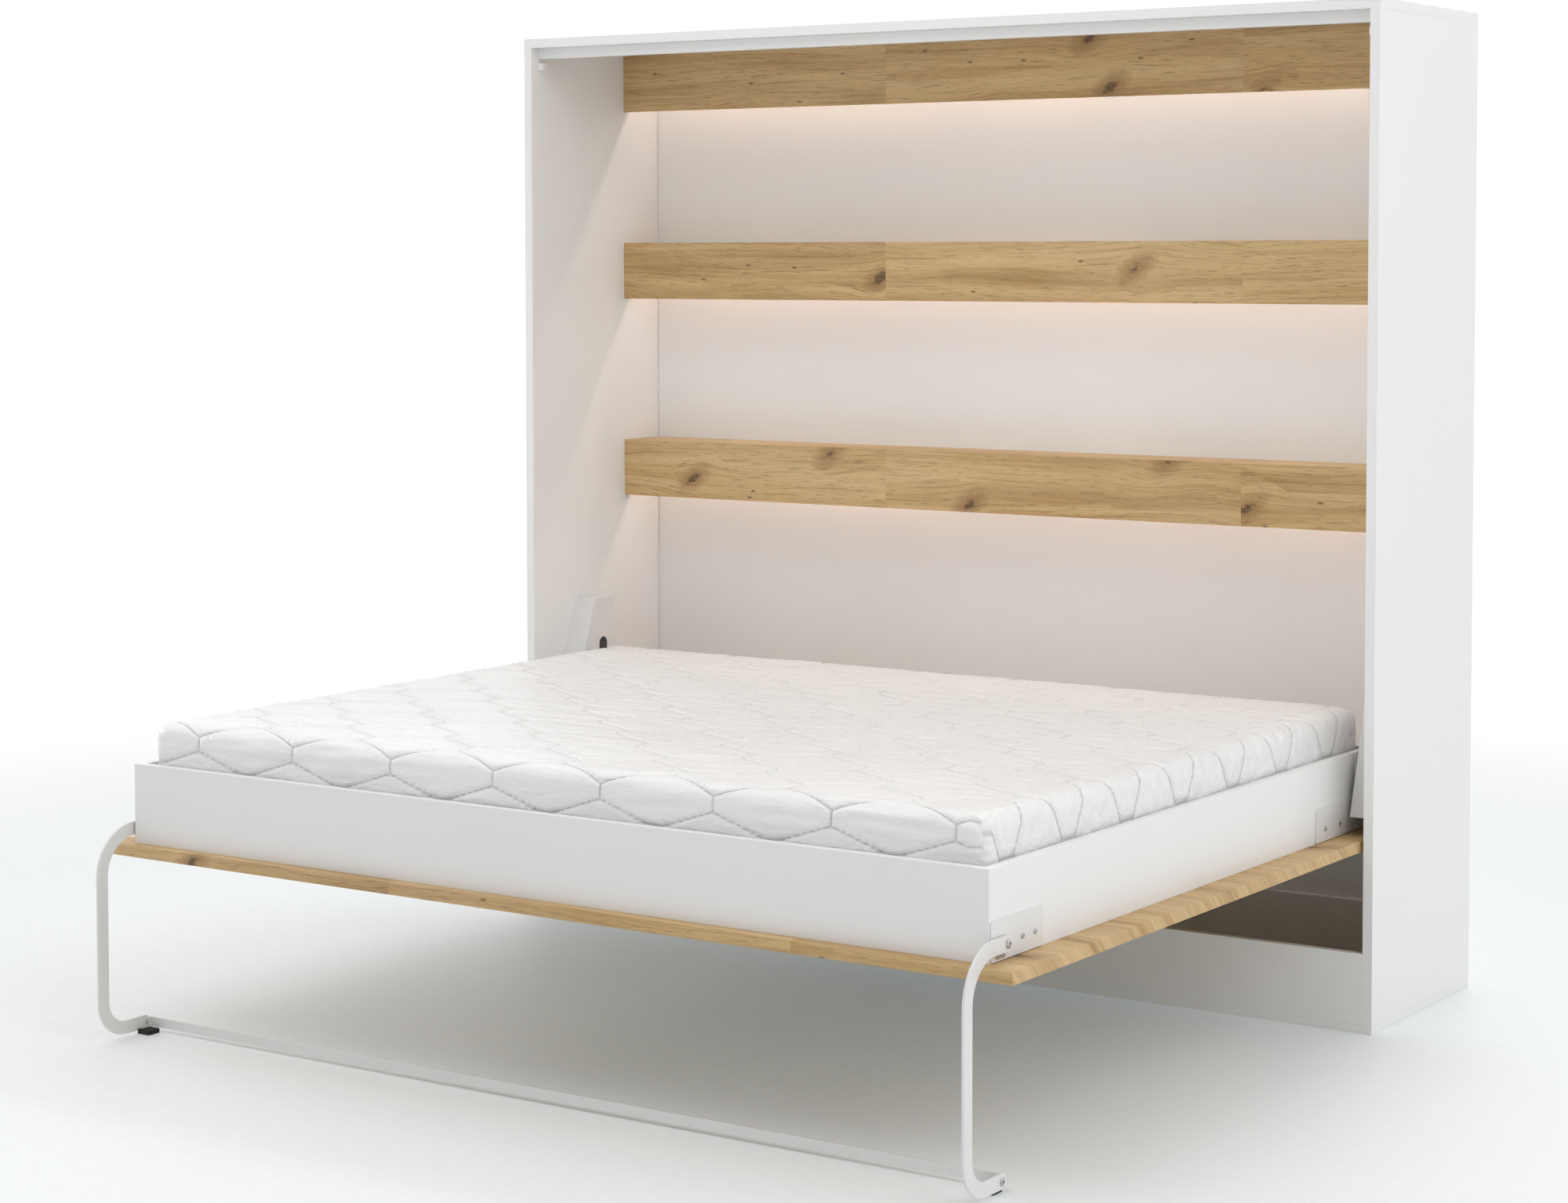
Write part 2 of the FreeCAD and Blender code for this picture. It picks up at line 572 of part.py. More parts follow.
rail_length = "frame_foot + frame_head - frame_board"
side_rail = new_body("left_side_rail")
rail_block = rounded(side_rail, block(side_rail, ("frame_board", rail_length, "frame_height")), "edge_radius")
rail_start = "frame_foot - frame_board"          # from the cabinet's front to the rail's foot end
bolt_holes = new_sketch(side_rail, "bolt_holes")
for bolt_foot in FIX_BOLTS:
    add_circle(bolt_holes, "%s - %s" % (rail_start, bolt_foot),
               "fix_bolt_height - (%s)" % PANEL_TOP, "bolt_radius")
for bolt_back in HINGE_BOLTS:
    add_circle(bolt_holes, "%s + %s" % (rail_start, bolt_back),
               "hinge_bolt_height - (%s)" % PANEL_TOP, "bolt_radius")
add_circle(bolt_holes, rail_start + " - leg_pivot_foot", "leg_pivot_height - (%s)" % PANEL_TOP,
           "pivot_bolt_radius")
pocket(side_rail, bolt_holes, "bolt_grip", back=True)
place(side_rail, RAIL_FACE, "%s - (%s)" % (FRONT, rail_start), PANEL_TOP)
keep("left_side_rail", side_rail)
other_side("right_side_rail", side_rail)

# ---------------------------------------------------------------- slatted base and mattress
bed_middle = "(frame_head - frame_foot) / 2"      # from the cabinet's front, back positive
inner_frame = "(frame_width - 2 * frame_board)"
slat_bottom = "(%s + ledge_height + slat_rest)" % PANEL_TOP
board("centre_beam", ("-%s / 2" % inner_frame, "%s + %s - beam_width / 2" % (FRONT, bed_middle), PANEL_TOP),
      (inner_frame, "beam_width", "ledge_height"))
ledges = []
for end, y in (("foot", "-frame_foot + frame_board"), ("head", "frame_head - frame_board - ledge_width")):
    ledge = new_body(end + "_ledge")
    rounded(ledge, block(ledge, (inner_frame, "ledge_width", "ledge_height")), "edge_radius")
    place(ledge, "-%s / 2" % inner_frame, "%s + %s" % (FRONT, y), PANEL_TOP)
    ledges.append(ledge)
group("slat_ledges", ledges)

slat_span = "((frame_foot + frame_head) / 2 - frame_board - 2 * slat_end_gap)"
row_start = "-((slat_count - 1) * slat_pitch + slat_width) / 2"


def row_of(name, size, y, z):
    """Slats or slat rests, evenly spaced along the bed."""
    body = new_body(name)
    first = block(body, size)
    row = body.newObject("PartDesign::LinearPattern", "Row")
    row.Originals = [first]
    row.Direction = (origin(body, "X_Axis"), [""])
    row.setExpression("Length", dim("(slat_count - 1) * slat_pitch"))
    row.setExpression("Occurrences", dim("slat_count"))
    body.Tip = row
    doc.recompute()
    rounded(body, row, "edge_radius")
    place(body, row_start, y, z)
    return body


foot_start = "%s - frame_foot + frame_board + slat_end_gap" % FRONT
head_start = "%s + %s + slat_end_gap" % (FRONT, bed_middle)
slat_size = ("slat_width", slat_span, "slat_thickness")
keep("foot_slats", row_of("foot_slats", slat_size, foot_start, slat_bottom))
keep("head_slats", row_of("head_slats", slat_size, head_start, slat_bottom))
rest_size = ("slat_width", "ledge_width - 2 * edge_radius", "slat_rest")
rest_places = {"foot_rests": FRONT + " - frame_foot + frame_board + edge_radius",
               "head_rests": FRONT + " + frame_head - frame_board - ledge_width + edge_radius",
               "foot_middle_rests": "%s + %s - ledge_width - edge_radius" % (FRONT, bed_middle),
               "head_middle_rests": "%s + %s + 3 * edge_radius" % (FRONT, bed_middle)}
group("slat_rests", [row_of(name, rest_size, y, "%s + ledge_height" % PANEL_TOP)
                     for name, y in rest_places.items()])

board("mattress", ("-mattress_length / 2", FRONT + " - mattress_foot", slat_bottom + " + slat_thickness"),
      ("mattress_length", "mattress_width", "mattress_height"), "mattress_edge")

# ---------------------------------------------------------------- hinge plate, shaft and crank
hinge_plate = new_body("left_hinge_plate")
plate_bottom = "(%s + plate_lift)" % PANEL_TOP
bolt_row = "hinge_bolt_height - " + plate_bottom
hinge_plate_length = "(hinge_plate_foot + hinge_plate_head)"
step = "hinge_plate_foot + hinge_plate_step"
plate_with_holes(
    hinge_plate,
    [("0", "0"), (hinge_plate_length, "0"), (hinge_plate_length, "hinge_plate_top - " + plate_bottom),
     (step, "hinge_plate_top - " + plate_bottom), (step, "hinge_plate_height"), ("0", "hinge_plate_height")],
    [("hinge_plate_foot + " + bolt_back, bolt_row, "bolt_radius") for bolt_back in HINGE_BOLTS]
    + [("hinge_plate_foot + pivot_setback", "pivot_height - " + plate_bottom, "shaft_radius")],
    "plate_sheet", "plate_corner")
place(hinge_plate, RAIL_FACE + " - plate_sheet", FRONT + " - hinge_plate_foot", plate_bottom)
keep("left_hinge_plate", hinge_plate)
other_side("right_hinge_plate", hinge_plate)

shaft = new_body("left_pivot_shaft")
shaft_length = "((cabinet_width - frame_width) / 2 - shaft_end)"
flange_start = shaft_length + " - plate_sheet - shaft_flange"
turn(shaft, "shaft_outline", [("0", "0"), (shaft_length, "0"), (shaft_length, "shaft_radius"),
                              (shaft_length + " - plate_sheet", "shaft_radius"),
                              (shaft_length + " - plate_sheet", "shaft_flange_radius"),
                              (flange_start, "shaft_flange_radius"), (flange_start, "shaft_radius"),
                              ("1.5", "shaft_radius"), ("0", "shaft_radius - 1.5")])
place(shaft, LEFT + " + shaft_end", *PIVOT)
keep("left_pivot_shaft", shaft)
other_side("right_pivot_shaft", shaft)

crank = new_body("left_crank")
arm = new_sketch(crank, "crank_arm")
crank_throw = "sqrt(crank_back ^ 2 + crank_up ^ 2)"
add_slot(arm, ("0", "0"), ("0", crank_throw), "crank_radius")
pad(crank, arm, "crank_thickness")
pin = new_sketch(crank, "crank_pin")
add_circle(pin, "0", crank_throw, "crank_pin_radius")
pad(crank, pin, "crank_pin_length", back=True)
hub = new_sketch(crank, "crank_hub", lift="crank_thickness")
add_circle(hub, "0", "0", "shaft_radius")
pocket(crank, hub, "crank_thickness")
place(crank, LEFT + " + crank_inset", *PIVOT)
lean_about_x(crank, "-atan(crank_back / crank_up)")
keep("left_crank", crank)
other_side("right_crank", crank)

both_sides("hinge_plate_bolts", [
    bolt("hinge_bolt_%d" % number,
         (RAIL_FACE + " - plate_sheet", "%s + %s" % (FRONT, bolt_back), "hinge_bolt_height"),
         "bolt_head_radius", "bolt_head", "bolt_radius", "plate_sheet + bolt_grip")
    for number, bolt_back in enumerate(HINGE_BOLTS, start=1)])

# ---------------------------------------------------------------- leg bracket plate
leg_bracket = new_body("left_leg_bracket")


def from_plate(foot):
    """Distance along the leg bracket plate of a place given forward from the cabinet's front."""
    return "bracket_plate_foot - " + foot


fix_row = "fix_bolt_height - " + plate_bottom
stop_row = "stop_bolt_height - " + plate_bottom
plate_with_holes(
    leg_bracket,
    [("0", "0"), ("bracket_plate_length", "0"), ("bracket_plate_length", "bracket_plate_height"),
     ("0", "bracket_plate_height")],
    [(from_plate(foot), fix_row, "bolt_radius") for foot in FIX_BOLTS]
    + [(from_plate(foot), stop_row, "stop_shank_radius") for foot in STOP_BOLTS]
    + [(from_plate("leg_pivot_foot"), "leg_pivot_height - " + plate_bottom, "pivot_bolt_radius")],
    "plate_sheet", "plate_corner")
place(leg_bracket, RAIL_FACE + " - plate_sheet", FRONT + " - bracket_plate_foot", plate_bottom)
keep("left_leg_bracket", leg_bracket)
other_side("right_leg_bracket", leg_bracket)

both_sides("leg_bracket_bolts", [
    bolt("fix_bolt_%d" % number,
         (RAIL_FACE + " - plate_sheet", "%s - %s" % (FRONT, foot), "fix_bolt_height"),
         "bolt_head_radius", "bolt_head", "bolt_radius", "plate_sheet + bolt_grip")
    for number, foot in enumerate(FIX_BOLTS, start=1)])
both_sides("leg_stop_bolts", [
    bolt("stop_bolt_%d" % number,
         (RAIL_FACE + " - plate_sheet", "%s - %s" % (FRONT, foot), "stop_bolt_height"),
         "stop_head_radius", "stop_head", "stop_shank_radius", "plate_sheet")
    for number, foot in enumerate(STOP_BOLTS, start=1)])

# ---------------------------------------------------------------- leg
# The bar runs forward from its pivot, bends down round the panel's edge, and bends back at the floor.
bar_face = RAIL_FACE + " - plate_sheet - leg_gap - leg_bar_thickness"
leg_drop = "(leg_pivot_height - leg_foot_height)"

bar = new_body("left_leg_bar")
section = new_sketch(bar, "bar_section", "XZ_Plane")
add_polygon(section, [("0", "-leg_bar_width / 2"), ("leg_bar_thickness", "-leg_bar_width / 2"),
                      ("leg_bar_thickness", "leg_bar_width / 2"), ("0", "leg_bar_width / 2")])
path = new_sketch(bar, "bar_path")
arm_length = measure("leg_arm")
top_bend = measure("leg_top_bend")
foot_bend = measure("leg_foot_bend")
reach = arm_length + top_bend
drop = measure(leg_drop)
toe = measure("leg_toe")
top_circle = Part.Circle(FreeCAD.Vector(-arm_length, -top_bend, 0), UPWARD, top_bend)
foot_circle = Part.Circle(FreeCAD.Vector(foot_bend - reach, foot_bend - drop, 0), UPWARD, foot_bend)
arm_line = path.addGeometry(Part.LineSegment(FreeCAD.Vector(0, 0, 0), FreeCAD.Vector(-arm_length, 0, 0)))
top_arc = path.addGeometry(Part.ArcOfCircle(top_circle, math.pi / 2, math.pi))
post_line = path.addGeometry(Part.LineSegment(FreeCAD.Vector(-reach, -top_bend, 0),
                                              FreeCAD.Vector(-reach, foot_bend - drop, 0)))
foot_arc = path.addGeometry(Part.ArcOfCircle(foot_circle, math.pi, 1.5 * math.pi))
toe_line = path.addGeometry(Part.LineSegment(FreeCAD.Vector(foot_bend - reach, -drop, 0),
                                             FreeCAD.Vector(-toe, -drop, 0)))
path.addConstraint(Sketcher.Constraint("Coincident", arm_line, 1, -1, 1))
for line in (arm_line, toe_line):
    path.addConstraint(Sketcher.Constraint("Horizontal", line))
path.addConstraint(Sketcher.Constraint("Vertical", post_line))
for one, end, other, start in ((arm_line, 2, top_arc, 1), (top_arc, 2, post_line, 1),
                               (post_line, 2, foot_arc, 1), (foot_arc, 2, toe_line, 1)):
    path.addConstraint(Sketcher.Constraint("Tangent", one, end, other, start))
bind(path, "Radius", (top_arc,), "leg_top_bend")
bind(path, "Radius", (foot_arc,), "leg_foot_bend")
bind(path, "DistanceX", (arm_line, 2, arm_line, 1), "leg_arm")
bind(path, "DistanceX", (toe_line, 2, -1, 1), "leg_toe")
bind(path, "DistanceY", (toe_line, 2, -1, 1), leg_drop)
doc.recompute()
swept = bar.newObject("PartDesign::AdditivePipe", "Swept")
swept.Profile = section
swept.Spine = (path, [""])
doc.recompute()
ends = new_sketch(bar, "bar_ends")
end_places = (("0", "0"), ("-leg_toe", "-" + leg_drop))
for u, v in end_places:
    add_circle(ends, u, v, "leg_bar_width / 2")
pad(bar, ends, "leg_bar_thickness")
end_holes = new_sketch(bar, "bar_end_holes")
for (u, v), hole in zip(end_places, ("pivot_bolt_radius + running_gap", "cross_bolt_radius")):
    add_circle(end_holes, u, v, hole)
pocket(bar, end_holes, "leg_bar_thickness", back=True)
place(bar, bar_face, LEG_PIVOT_Y, "leg_pivot_height")
keep("left_leg_bar", bar)
other_side("right_leg_bar", bar)

# the leg turns on a bolt screwed into the frame, with a spacer behind the bar to clear the bracket's bolts
both_sides("leg_pivot_bolts", [
    bolt("leg_pivot_bolt", (bar_face + " - washer_gap", LEG_PIVOT_Y, "leg_pivot_height"),
         "pivot_head_radius", "pivot_head", "pivot_bolt_radius",
         "washer_gap + leg_bar_thickness + leg_gap + plate_sheet + bolt_grip")])
spacer = new_body("left_leg_spacer")
spacer_length = "leg_gap - washer_gap"
turn(spacer, "spacer_section", [("0", "pivot_bolt_radius"), (spacer_length, "pivot_bolt_radius"),
                                (spacer_length, "pivot_head_radius"), ("0", "pivot_head_radius")])
place(spacer, bar_face + " + leg_bar_thickness + washer_gap", LEG_PIVOT_Y, "leg_pivot_height")
both_sides("leg_spacers", [spacer])

# the crossbar's ends are bent forward into tabs, which are bolted to the leg bars
cross = new_body("leg_crossbar")
cross_length = "(frame_width + 2 * (plate_sheet + leg_gap))"
outline = new_sketch(cross, "crossbar_outline", "XY_Plane")
inner = "cross_thickness"
add_polygon(outline, [("0", "0"), (inner, "0"), (inner, "cross_tab - cross_thickness"),
                      (cross_length + " - cross_thickness", "cross_tab - cross_thickness"),
                      (cross_length + " - cross_thickness", "0"), (cross_length, "0"),
                      (cross_length, "cross_tab"), ("0", "cross_tab")])
bent = pad(cross, outline, "cross_height")
corners = [name for name in edges_along(bent, "z")
           if bent.Shape.getElement(name).CenterOfMass.y > measure("cross_tab - cross_thickness / 2")]
rounded(cross, bent, "cross_bend", corners)
tab_hole = new_sketch(cross, "tab_holes")
add_circle(tab_hole, "cross_tab - cross_thickness - cross_back", "leg_foot_height - cross_bottom",
           "cross_bolt_radius")
pocket(cross, tab_hole, cross_length, back=True)
toe_place = LEG_PIVOT_Y + " - leg_toe"
place(cross, "-%s / 2" % cross_length, toe_place + " + cross_back + cross_thickness - cross_tab",
      "cross_bottom")
keep("leg_crossbar", cross)

both_sides("crossbar_bolts", [
    bolt("crossbar_bolt", (bar_face, toe_place, "leg_foot_height"), "cross_head_radius", "cross_head",
         "cross_bolt_radius", "leg_bar_thickness + cross_thickness")])

foot_pad = new_body("left_leg_pad")
pad_block = block(foot_pad, ("pad_length", "pad_width", "pad_height"))
rounded(foot_pad, pad_block, "edge_radius", edges_along(pad_block, "z"))
place(foot_pad, bar_face + " + leg_bar_thickness", FRONT + " - pad_foot", "0")
both_sides("leg_pads", [foot_pad])

# ---------------------------------------------------------------- checks and files
doc.removeObject(gauge.Name)
doc.recompute()
for item in doc.Objects:
    if "Invalid" in item.State or "Error" in item.State:
        raise RuntimeError("%s failed: %s" % (item.Label, item.State))
for label, piece in parts.items():
    if piece.Shape.isNull() or not piece.Shape.isValid():
        raise RuntimeError(label + " has no valid shape")

os.makedirs("parts", exist_ok=True)
for label, piece in parts.items():
    piece.Shape.exportStep("parts/%s.step" % label)
print("%d sub-parts written" % len(parts))
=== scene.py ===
import json
import math
from types import SimpleNamespace

import bmesh
import bpy
import numpy as np
from mathutils import Euler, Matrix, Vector, noise
from mathutils.bvhtree import BVHTree


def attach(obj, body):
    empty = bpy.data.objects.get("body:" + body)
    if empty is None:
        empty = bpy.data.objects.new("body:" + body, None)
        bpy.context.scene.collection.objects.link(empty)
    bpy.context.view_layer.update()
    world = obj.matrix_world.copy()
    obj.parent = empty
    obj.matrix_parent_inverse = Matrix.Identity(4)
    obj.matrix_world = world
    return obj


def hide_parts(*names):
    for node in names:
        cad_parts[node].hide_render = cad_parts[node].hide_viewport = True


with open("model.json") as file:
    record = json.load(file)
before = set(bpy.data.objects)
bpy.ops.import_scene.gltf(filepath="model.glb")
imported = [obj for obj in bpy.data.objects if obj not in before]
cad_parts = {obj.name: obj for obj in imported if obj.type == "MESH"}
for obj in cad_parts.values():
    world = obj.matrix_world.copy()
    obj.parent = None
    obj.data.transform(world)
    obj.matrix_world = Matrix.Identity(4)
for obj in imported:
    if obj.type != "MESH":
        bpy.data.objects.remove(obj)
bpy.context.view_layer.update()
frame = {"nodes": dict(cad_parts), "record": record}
scene = bpy.context.scene

# Everything is in metres, in the row frame: +X runs along the cabinet, +Y towards the wall, +Z up.
MM = 0.001


# ---------------------------------------------------------------- camera and light
CAMERA_PLACE = (3.740, -6.345, 1.620)
CAMERA_TURN = math.radians(33.952)
CAMERA_LOOK_DOWN = math.radians(3)
CAMERA_LEAN = math.radians(-0.064)
SENSOR_WIDTH_MM = 36
FOCAL_LENGTH_MM = 72.82
CAMERA_SHIFT = -0.1152
WORLD_BEHIND = 0.50
WORLD_AHEAD = 1.06


def add_camera():
    data = bpy.data.cameras.new("camera")
    data.sensor_width = SENSOR_WIDTH_MM
    data.lens = FOCAL_LENGTH_MM
    data.shift_y = CAMERA_SHIFT
    data.clip_end = 100
    camera = bpy.data.objects.new("camera", data)
    scene.collection.objects.link(camera)
    aim = Euler((0, 0, CAMERA_TURN)).to_matrix() @ Euler((math.pi / 2 - CAMERA_LOOK_DOWN, 0, 0)).to_matrix()
    camera.rotation_euler = (aim @ Euler((0, 0, CAMERA_LEAN)).to_matrix()).to_euler()
    camera.location = CAMERA_PLACE
    scene.camera = camera


def add_area_light(name, place, aim_at, size, power, spread=180):
    """A rectangular light of that size and power in watts, and of that spread in degrees."""
    data = bpy.data.lights.new(name, "AREA")
    data.spread = math.radians(spread)
    data.shape = "RECTANGLE"
    data.size, data.size_y = size
    data.energy = power
    light = bpy.data.objects.new(name, data)
    light.location = place
    light.rotation_euler = (Vector(aim_at) - Vector(place)).to_track_quat("-Z", "Y").to_euler()
    scene.collection.objects.link(light)


def add_world():
    """A white studio that is a little darker behind the camera, so that fronts read darker than sides."""
    world = bpy.data.worlds.new("studio")
    world.use_nodes = True
    nodes, links = world.node_tree.nodes, world.node_tree.links
    place = nodes.new("ShaderNodeTexCoord")
    axes = nodes.new("ShaderNodeSeparateXYZ")
    ramp = nodes.new("ShaderNodeMapRange")
    ramp.inputs["From Min"].default_value = -0.9
    ramp.inputs["From Max"].default_value = 0.25
    ramp.inputs["To Min"].default_value = WORLD_BEHIND
    ramp.inputs["To Max"].default_value = WORLD_AHEAD
    links.new(place.outputs["Generated"], axes.inputs[0])
    links.new(axes.outputs["Y"], ramp.inputs["Value"])
    links.new(ramp.outputs[0], nodes["Background"].inputs["Strength"])
    nodes["Background"].inputs["Color"].default_value = (1, 1, 1, 1)
    scene.world = world


scene.view_settings.view_transform = "Standard"
add_camera()
add_world()
add_area_light("key", (4.6, -2.6, 4.2), (0.3, -0.7, 0.6), (3.0, 3.0), 48)
add_area_light("top", (-1.0, -3.2, 4.6), (0, -0.8, 0.6), (3.5, 2.5), 40)
add_area_light("behind", (0.4, 2.6, 5.6), (0.1, -1.0, 0.66), (1.6, 0.8), 15, spread=90)
add_area_light("inside", (0.2, -2.9, 2.1), (0, 0.25, 1.45), (2.2, 1.0), 1.5, spread=70)
add_area_light("graze", (-4.2, -1.9, 1.7), (0.4, -0.8, 0.66), (0.9, 0.5), 3.5, spread=60)


# ---------------------------------------------------------------- materials
# Colours are linear. A number beside a colour is where it stands on a ramp, or how much of it is mixed in.
EVEN = (1, 1, 1)
PLANK_START = 0.31
PLANK_LENGTH = 0.94
KNOT_CELLS = (2.2, 6.5)
KNOT_RADII = (4 * MM, 13 * MM)
KNOT_SLANT = 0.45
KNOT_STRETCH = 0.62
CELLS_WITHOUT_KNOT = 0.46
PIN_KNOT_CELLS = (7, 21)
CELLS_WITH_PIN_KNOT = 0.16
LIGHT_COLOUR = (1.0, 0.84, 0.76)
LIGHT_STRENGTH = 20.0
LAMP_PITCH = 10 * MM


class Paint:
    """A node material on one Principled shader. Textures run on object coordinates, which are the row
    frame."""

    def __init__(self, name, **surface):
        self.material = bpy.data.materials.new(name)
        self.material.use_nodes = True
        self.nodes = self.material.node_tree.nodes
        self.links = self.material.node_tree.links
        self.shader = self.nodes["Principled BSDF"]
        self.place = self.add("TexCoord").outputs["Object"]
        self.dress(**surface)

    def plug(self, socket, value):
        if isinstance(value, bpy.types.NodeSocket):
            self.links.new(value, socket)
        elif isinstance(value, tuple) and len(value) == 3 and socket.type == "RGBA":
            socket.default_value = (*value, 1)
        else:
            socket.default_value = value

    def add(self, kind, inputs=None, **settings):
        node = self.nodes.new("ShaderNode" + kind)
        for name, value in settings.items():
            setattr(node, name, value)
        for name, value in (inputs or {}).items():
            self.plug(node.inputs[name], value)
        return node

    def dress(self, **surface):
        for name, value in surface.items():
            self.plug(self.shader.inputs[name.replace("_", " ")], value)

    def maths(self, operation, *values):
        return self.add("Math", dict(enumerate(values)), operation=operation).outputs[0]

    def scaled(self, scale, place=None):
        inputs = {"Vector": place or self.place, "Scale": scale}
        return self.add("Mapping", inputs).outputs[0]

    def noise(self, scale, size=1.0, detail=2.0, rough=0.5, place=None, **more):
        """Noise with about scale times size features to the metre along each axis."""
        inputs = {"Vector": self.scaled(scale, place), "Scale": size, "Detail": detail, "Roughness": rough}
        return self.add("TexNoise", {**inputs, **more}).outputs["Fac"]

    def centred(self, value, height):
        """Noise about 0, that high from trough to crest."""
        return self.maths("MULTIPLY", self.maths("SUBTRACT", value, 0.5), height)

    def parts(self, vector):
        """A vector's X, Y and Z."""
        return self.add("SeparateXYZ", {0: vector}).outputs

    def joined(self, **axes):
        """A vector of the given axes."""
        return self.add("CombineXYZ", axes).outputs[0]

    def steps(self, value, *stops):
        """A colour ramp through (position, colour) stops."""
        ramp = self.add("ValToRGB", {"Fac": value})
        elements = ramp.color_ramp.elements
        while len(elements) < len(stops):
            elements.new(0.5)
        for element, (position, colour) in zip(elements, stops):
            element.position = position
            element.color = (*colour, 1)
        return ramp.outputs["Color"]

    def spread(self, value, low, high, to_low=0.0, to_high=1.0):
        """The value, mapped from low and high to to_low and to_high, and held between them."""
        inputs = {"Value": value, "From Min": low, "From Max": high, "To Min": to_low, "To Max": to_high}
        return self.add("MapRange", inputs).outputs[0]

    def mix(self, share, one, other):
        """Colour one, with that share of colour other over it."""
        node = self.add("Mix", data_type="RGBA")
        factor, colour_a, colour_b, colour_out = 0, 6, 7, 2
        for index, value in ((factor, share), (colour_a, one), (colour_b, other)):
            self.plug(node.inputs[index], value)
        return node.outputs[colour_out]

    def bump(self, height, depth, under=None):
        """Relief of a real depth in metres."""
        inputs = {"Height": height, "Distance": depth, "Strength": 1.0}
        if under is not None:
            inputs["Normal"] = under
        return self.add("Bump", inputs).outputs[0]


def white_board():
    """Matt white laminate: a fine pebbled press, and slightly uneven tone."""
    paint = Paint("white_board", Specular_IOR_Level=0.4)
    tone = paint.noise(EVEN, 3.0, detail=3)
    base = paint.steps(tone, (0.3, (0.812, 0.812, 0.807)), (0.7, (0.822, 0.822, 0.817)))
    pebble = paint.noise(EVEN, 700.0, detail=2)
    paint.dress(Base_Color=base, Roughness=paint.spread(tone, 0.3, 0.7, 0.42, 0.50),
                Normal=paint.bump(pebble, 0.05 * MM))
    return paint.material


def knot_cells(paint, flat, cells_per_metre):
    """One random point to a cell of a stretched Voronoi pattern."""
    inputs = {"Vector": paint.scaled((*cells_per_metre, 1), flat), "Scale": 1.0}
    return paint.add("TexVoronoi", inputs, voronoi_dimensions="2D").outputs


def oak_knots(paint, shifted, across, flat):
    """The sockets that say where the large knots are: in some of the cells of a Voronoi pattern."""
    knots = SimpleNamespace()
    cells = knot_cells(paint, flat, KNOT_CELLS)
    centre = paint.parts(cells["Position"])
    off_along = paint.maths("SUBTRACT", shifted, paint.maths("DIVIDE", centre["X"], KNOT_CELLS[0]))
    knots.off_across = paint.maths("SUBTRACT", across, paint.maths("DIVIDE", centre["Y"], KNOT_CELLS[1]))
    chosen = paint.add("SeparateColor", {0: cells["Color"]}).outputs
    knots.here = paint.maths("GREATER_THAN", chosen[0], CELLS_WITHOUT_KNOT)
    knots.size = paint.spread(chosen[1], 0, 1, *KNOT_RADII)
    knots.ragged = paint.noise((70, 110, 1), place=flat, detail=5, rough=0.75)
    slant = paint.maths("SUBTRACT", knots.off_across, paint.maths("MULTIPLY", off_along, KNOT_SLANT))
    oval = paint.joined(X=paint.maths("MULTIPLY", off_along, KNOT_STRETCH), Y=slant)
    round_reach = paint.add("VectorMath", {0: oval}, operation="LENGTH").outputs["Value"]
    knots.reach = paint.maths("ADD", round_reach, paint.centred(knots.ragged, 30 * MM))
    fall = paint.maths("EXPONENT", paint.maths("MULTIPLY", round_reach, -22.0))
    knots.near = paint.maths("MULTIPLY", knots.here, fall)
    return knots


def oak_knot_tone(paint, tone, knots, flat):
    """A brown halo, tight rings and a cracked dark core at each large knot, then the pin knots."""
    halo = paint.maths("MULTIPLY", knots.here, paint.spread(knots.reach, 8 * MM, 40 * MM, 1.0, 0.0))
    tone = paint.mix(paint.maths("MULTIPLY", halo, 0.60), tone, (0.270, 0.138, 0.052))
    wave = paint.maths("SINE", paint.maths("MULTIPLY", knots.reach, 1150.0))
    rings = paint.spread(wave, 0.2, 1.0, 0.0, 0.5)
    tone = paint.mix(paint.maths("MULTIPLY", halo, rings), tone, (0.150, 0.080, 0.035))
    core = paint.spread(paint.maths("SUBTRACT", knots.reach, knots.size), -2 * MM, 3 * MM, 1.0, 0.0)
    core = paint.maths("MULTIPLY", knots.here, core)
    split = paint.noise((120, 240, 1), place=flat, detail=4, rough=0.8)
    cracks = paint.spread(split, 0.40, 0.62, 0.30, 0.92)
    tone = paint.mix(paint.maths("MULTIPLY", core, cracks), tone, (0.040, 0.024, 0.016))

    pins = knot_cells(paint, flat, PIN_KNOT_CELLS)
    pin_draw = paint.add("SeparateColor", {0: pins["Color"]}).outputs[0]
    pin_reach = paint.maths("ADD", pins["Distance"], paint.maths("MULTIPLY", knots.ragged, 0.05))
    has_pin = paint.maths("LESS_THAN", pin_draw, CELLS_WITH_PIN_KNOT)
    pin = paint.maths("MULTIPLY", has_pin, paint.spread(pin_reach, 0.045, 0.095, 0.8, 0.0))
    return paint.mix(pin, tone, (0.075, 0.042, 0.024))


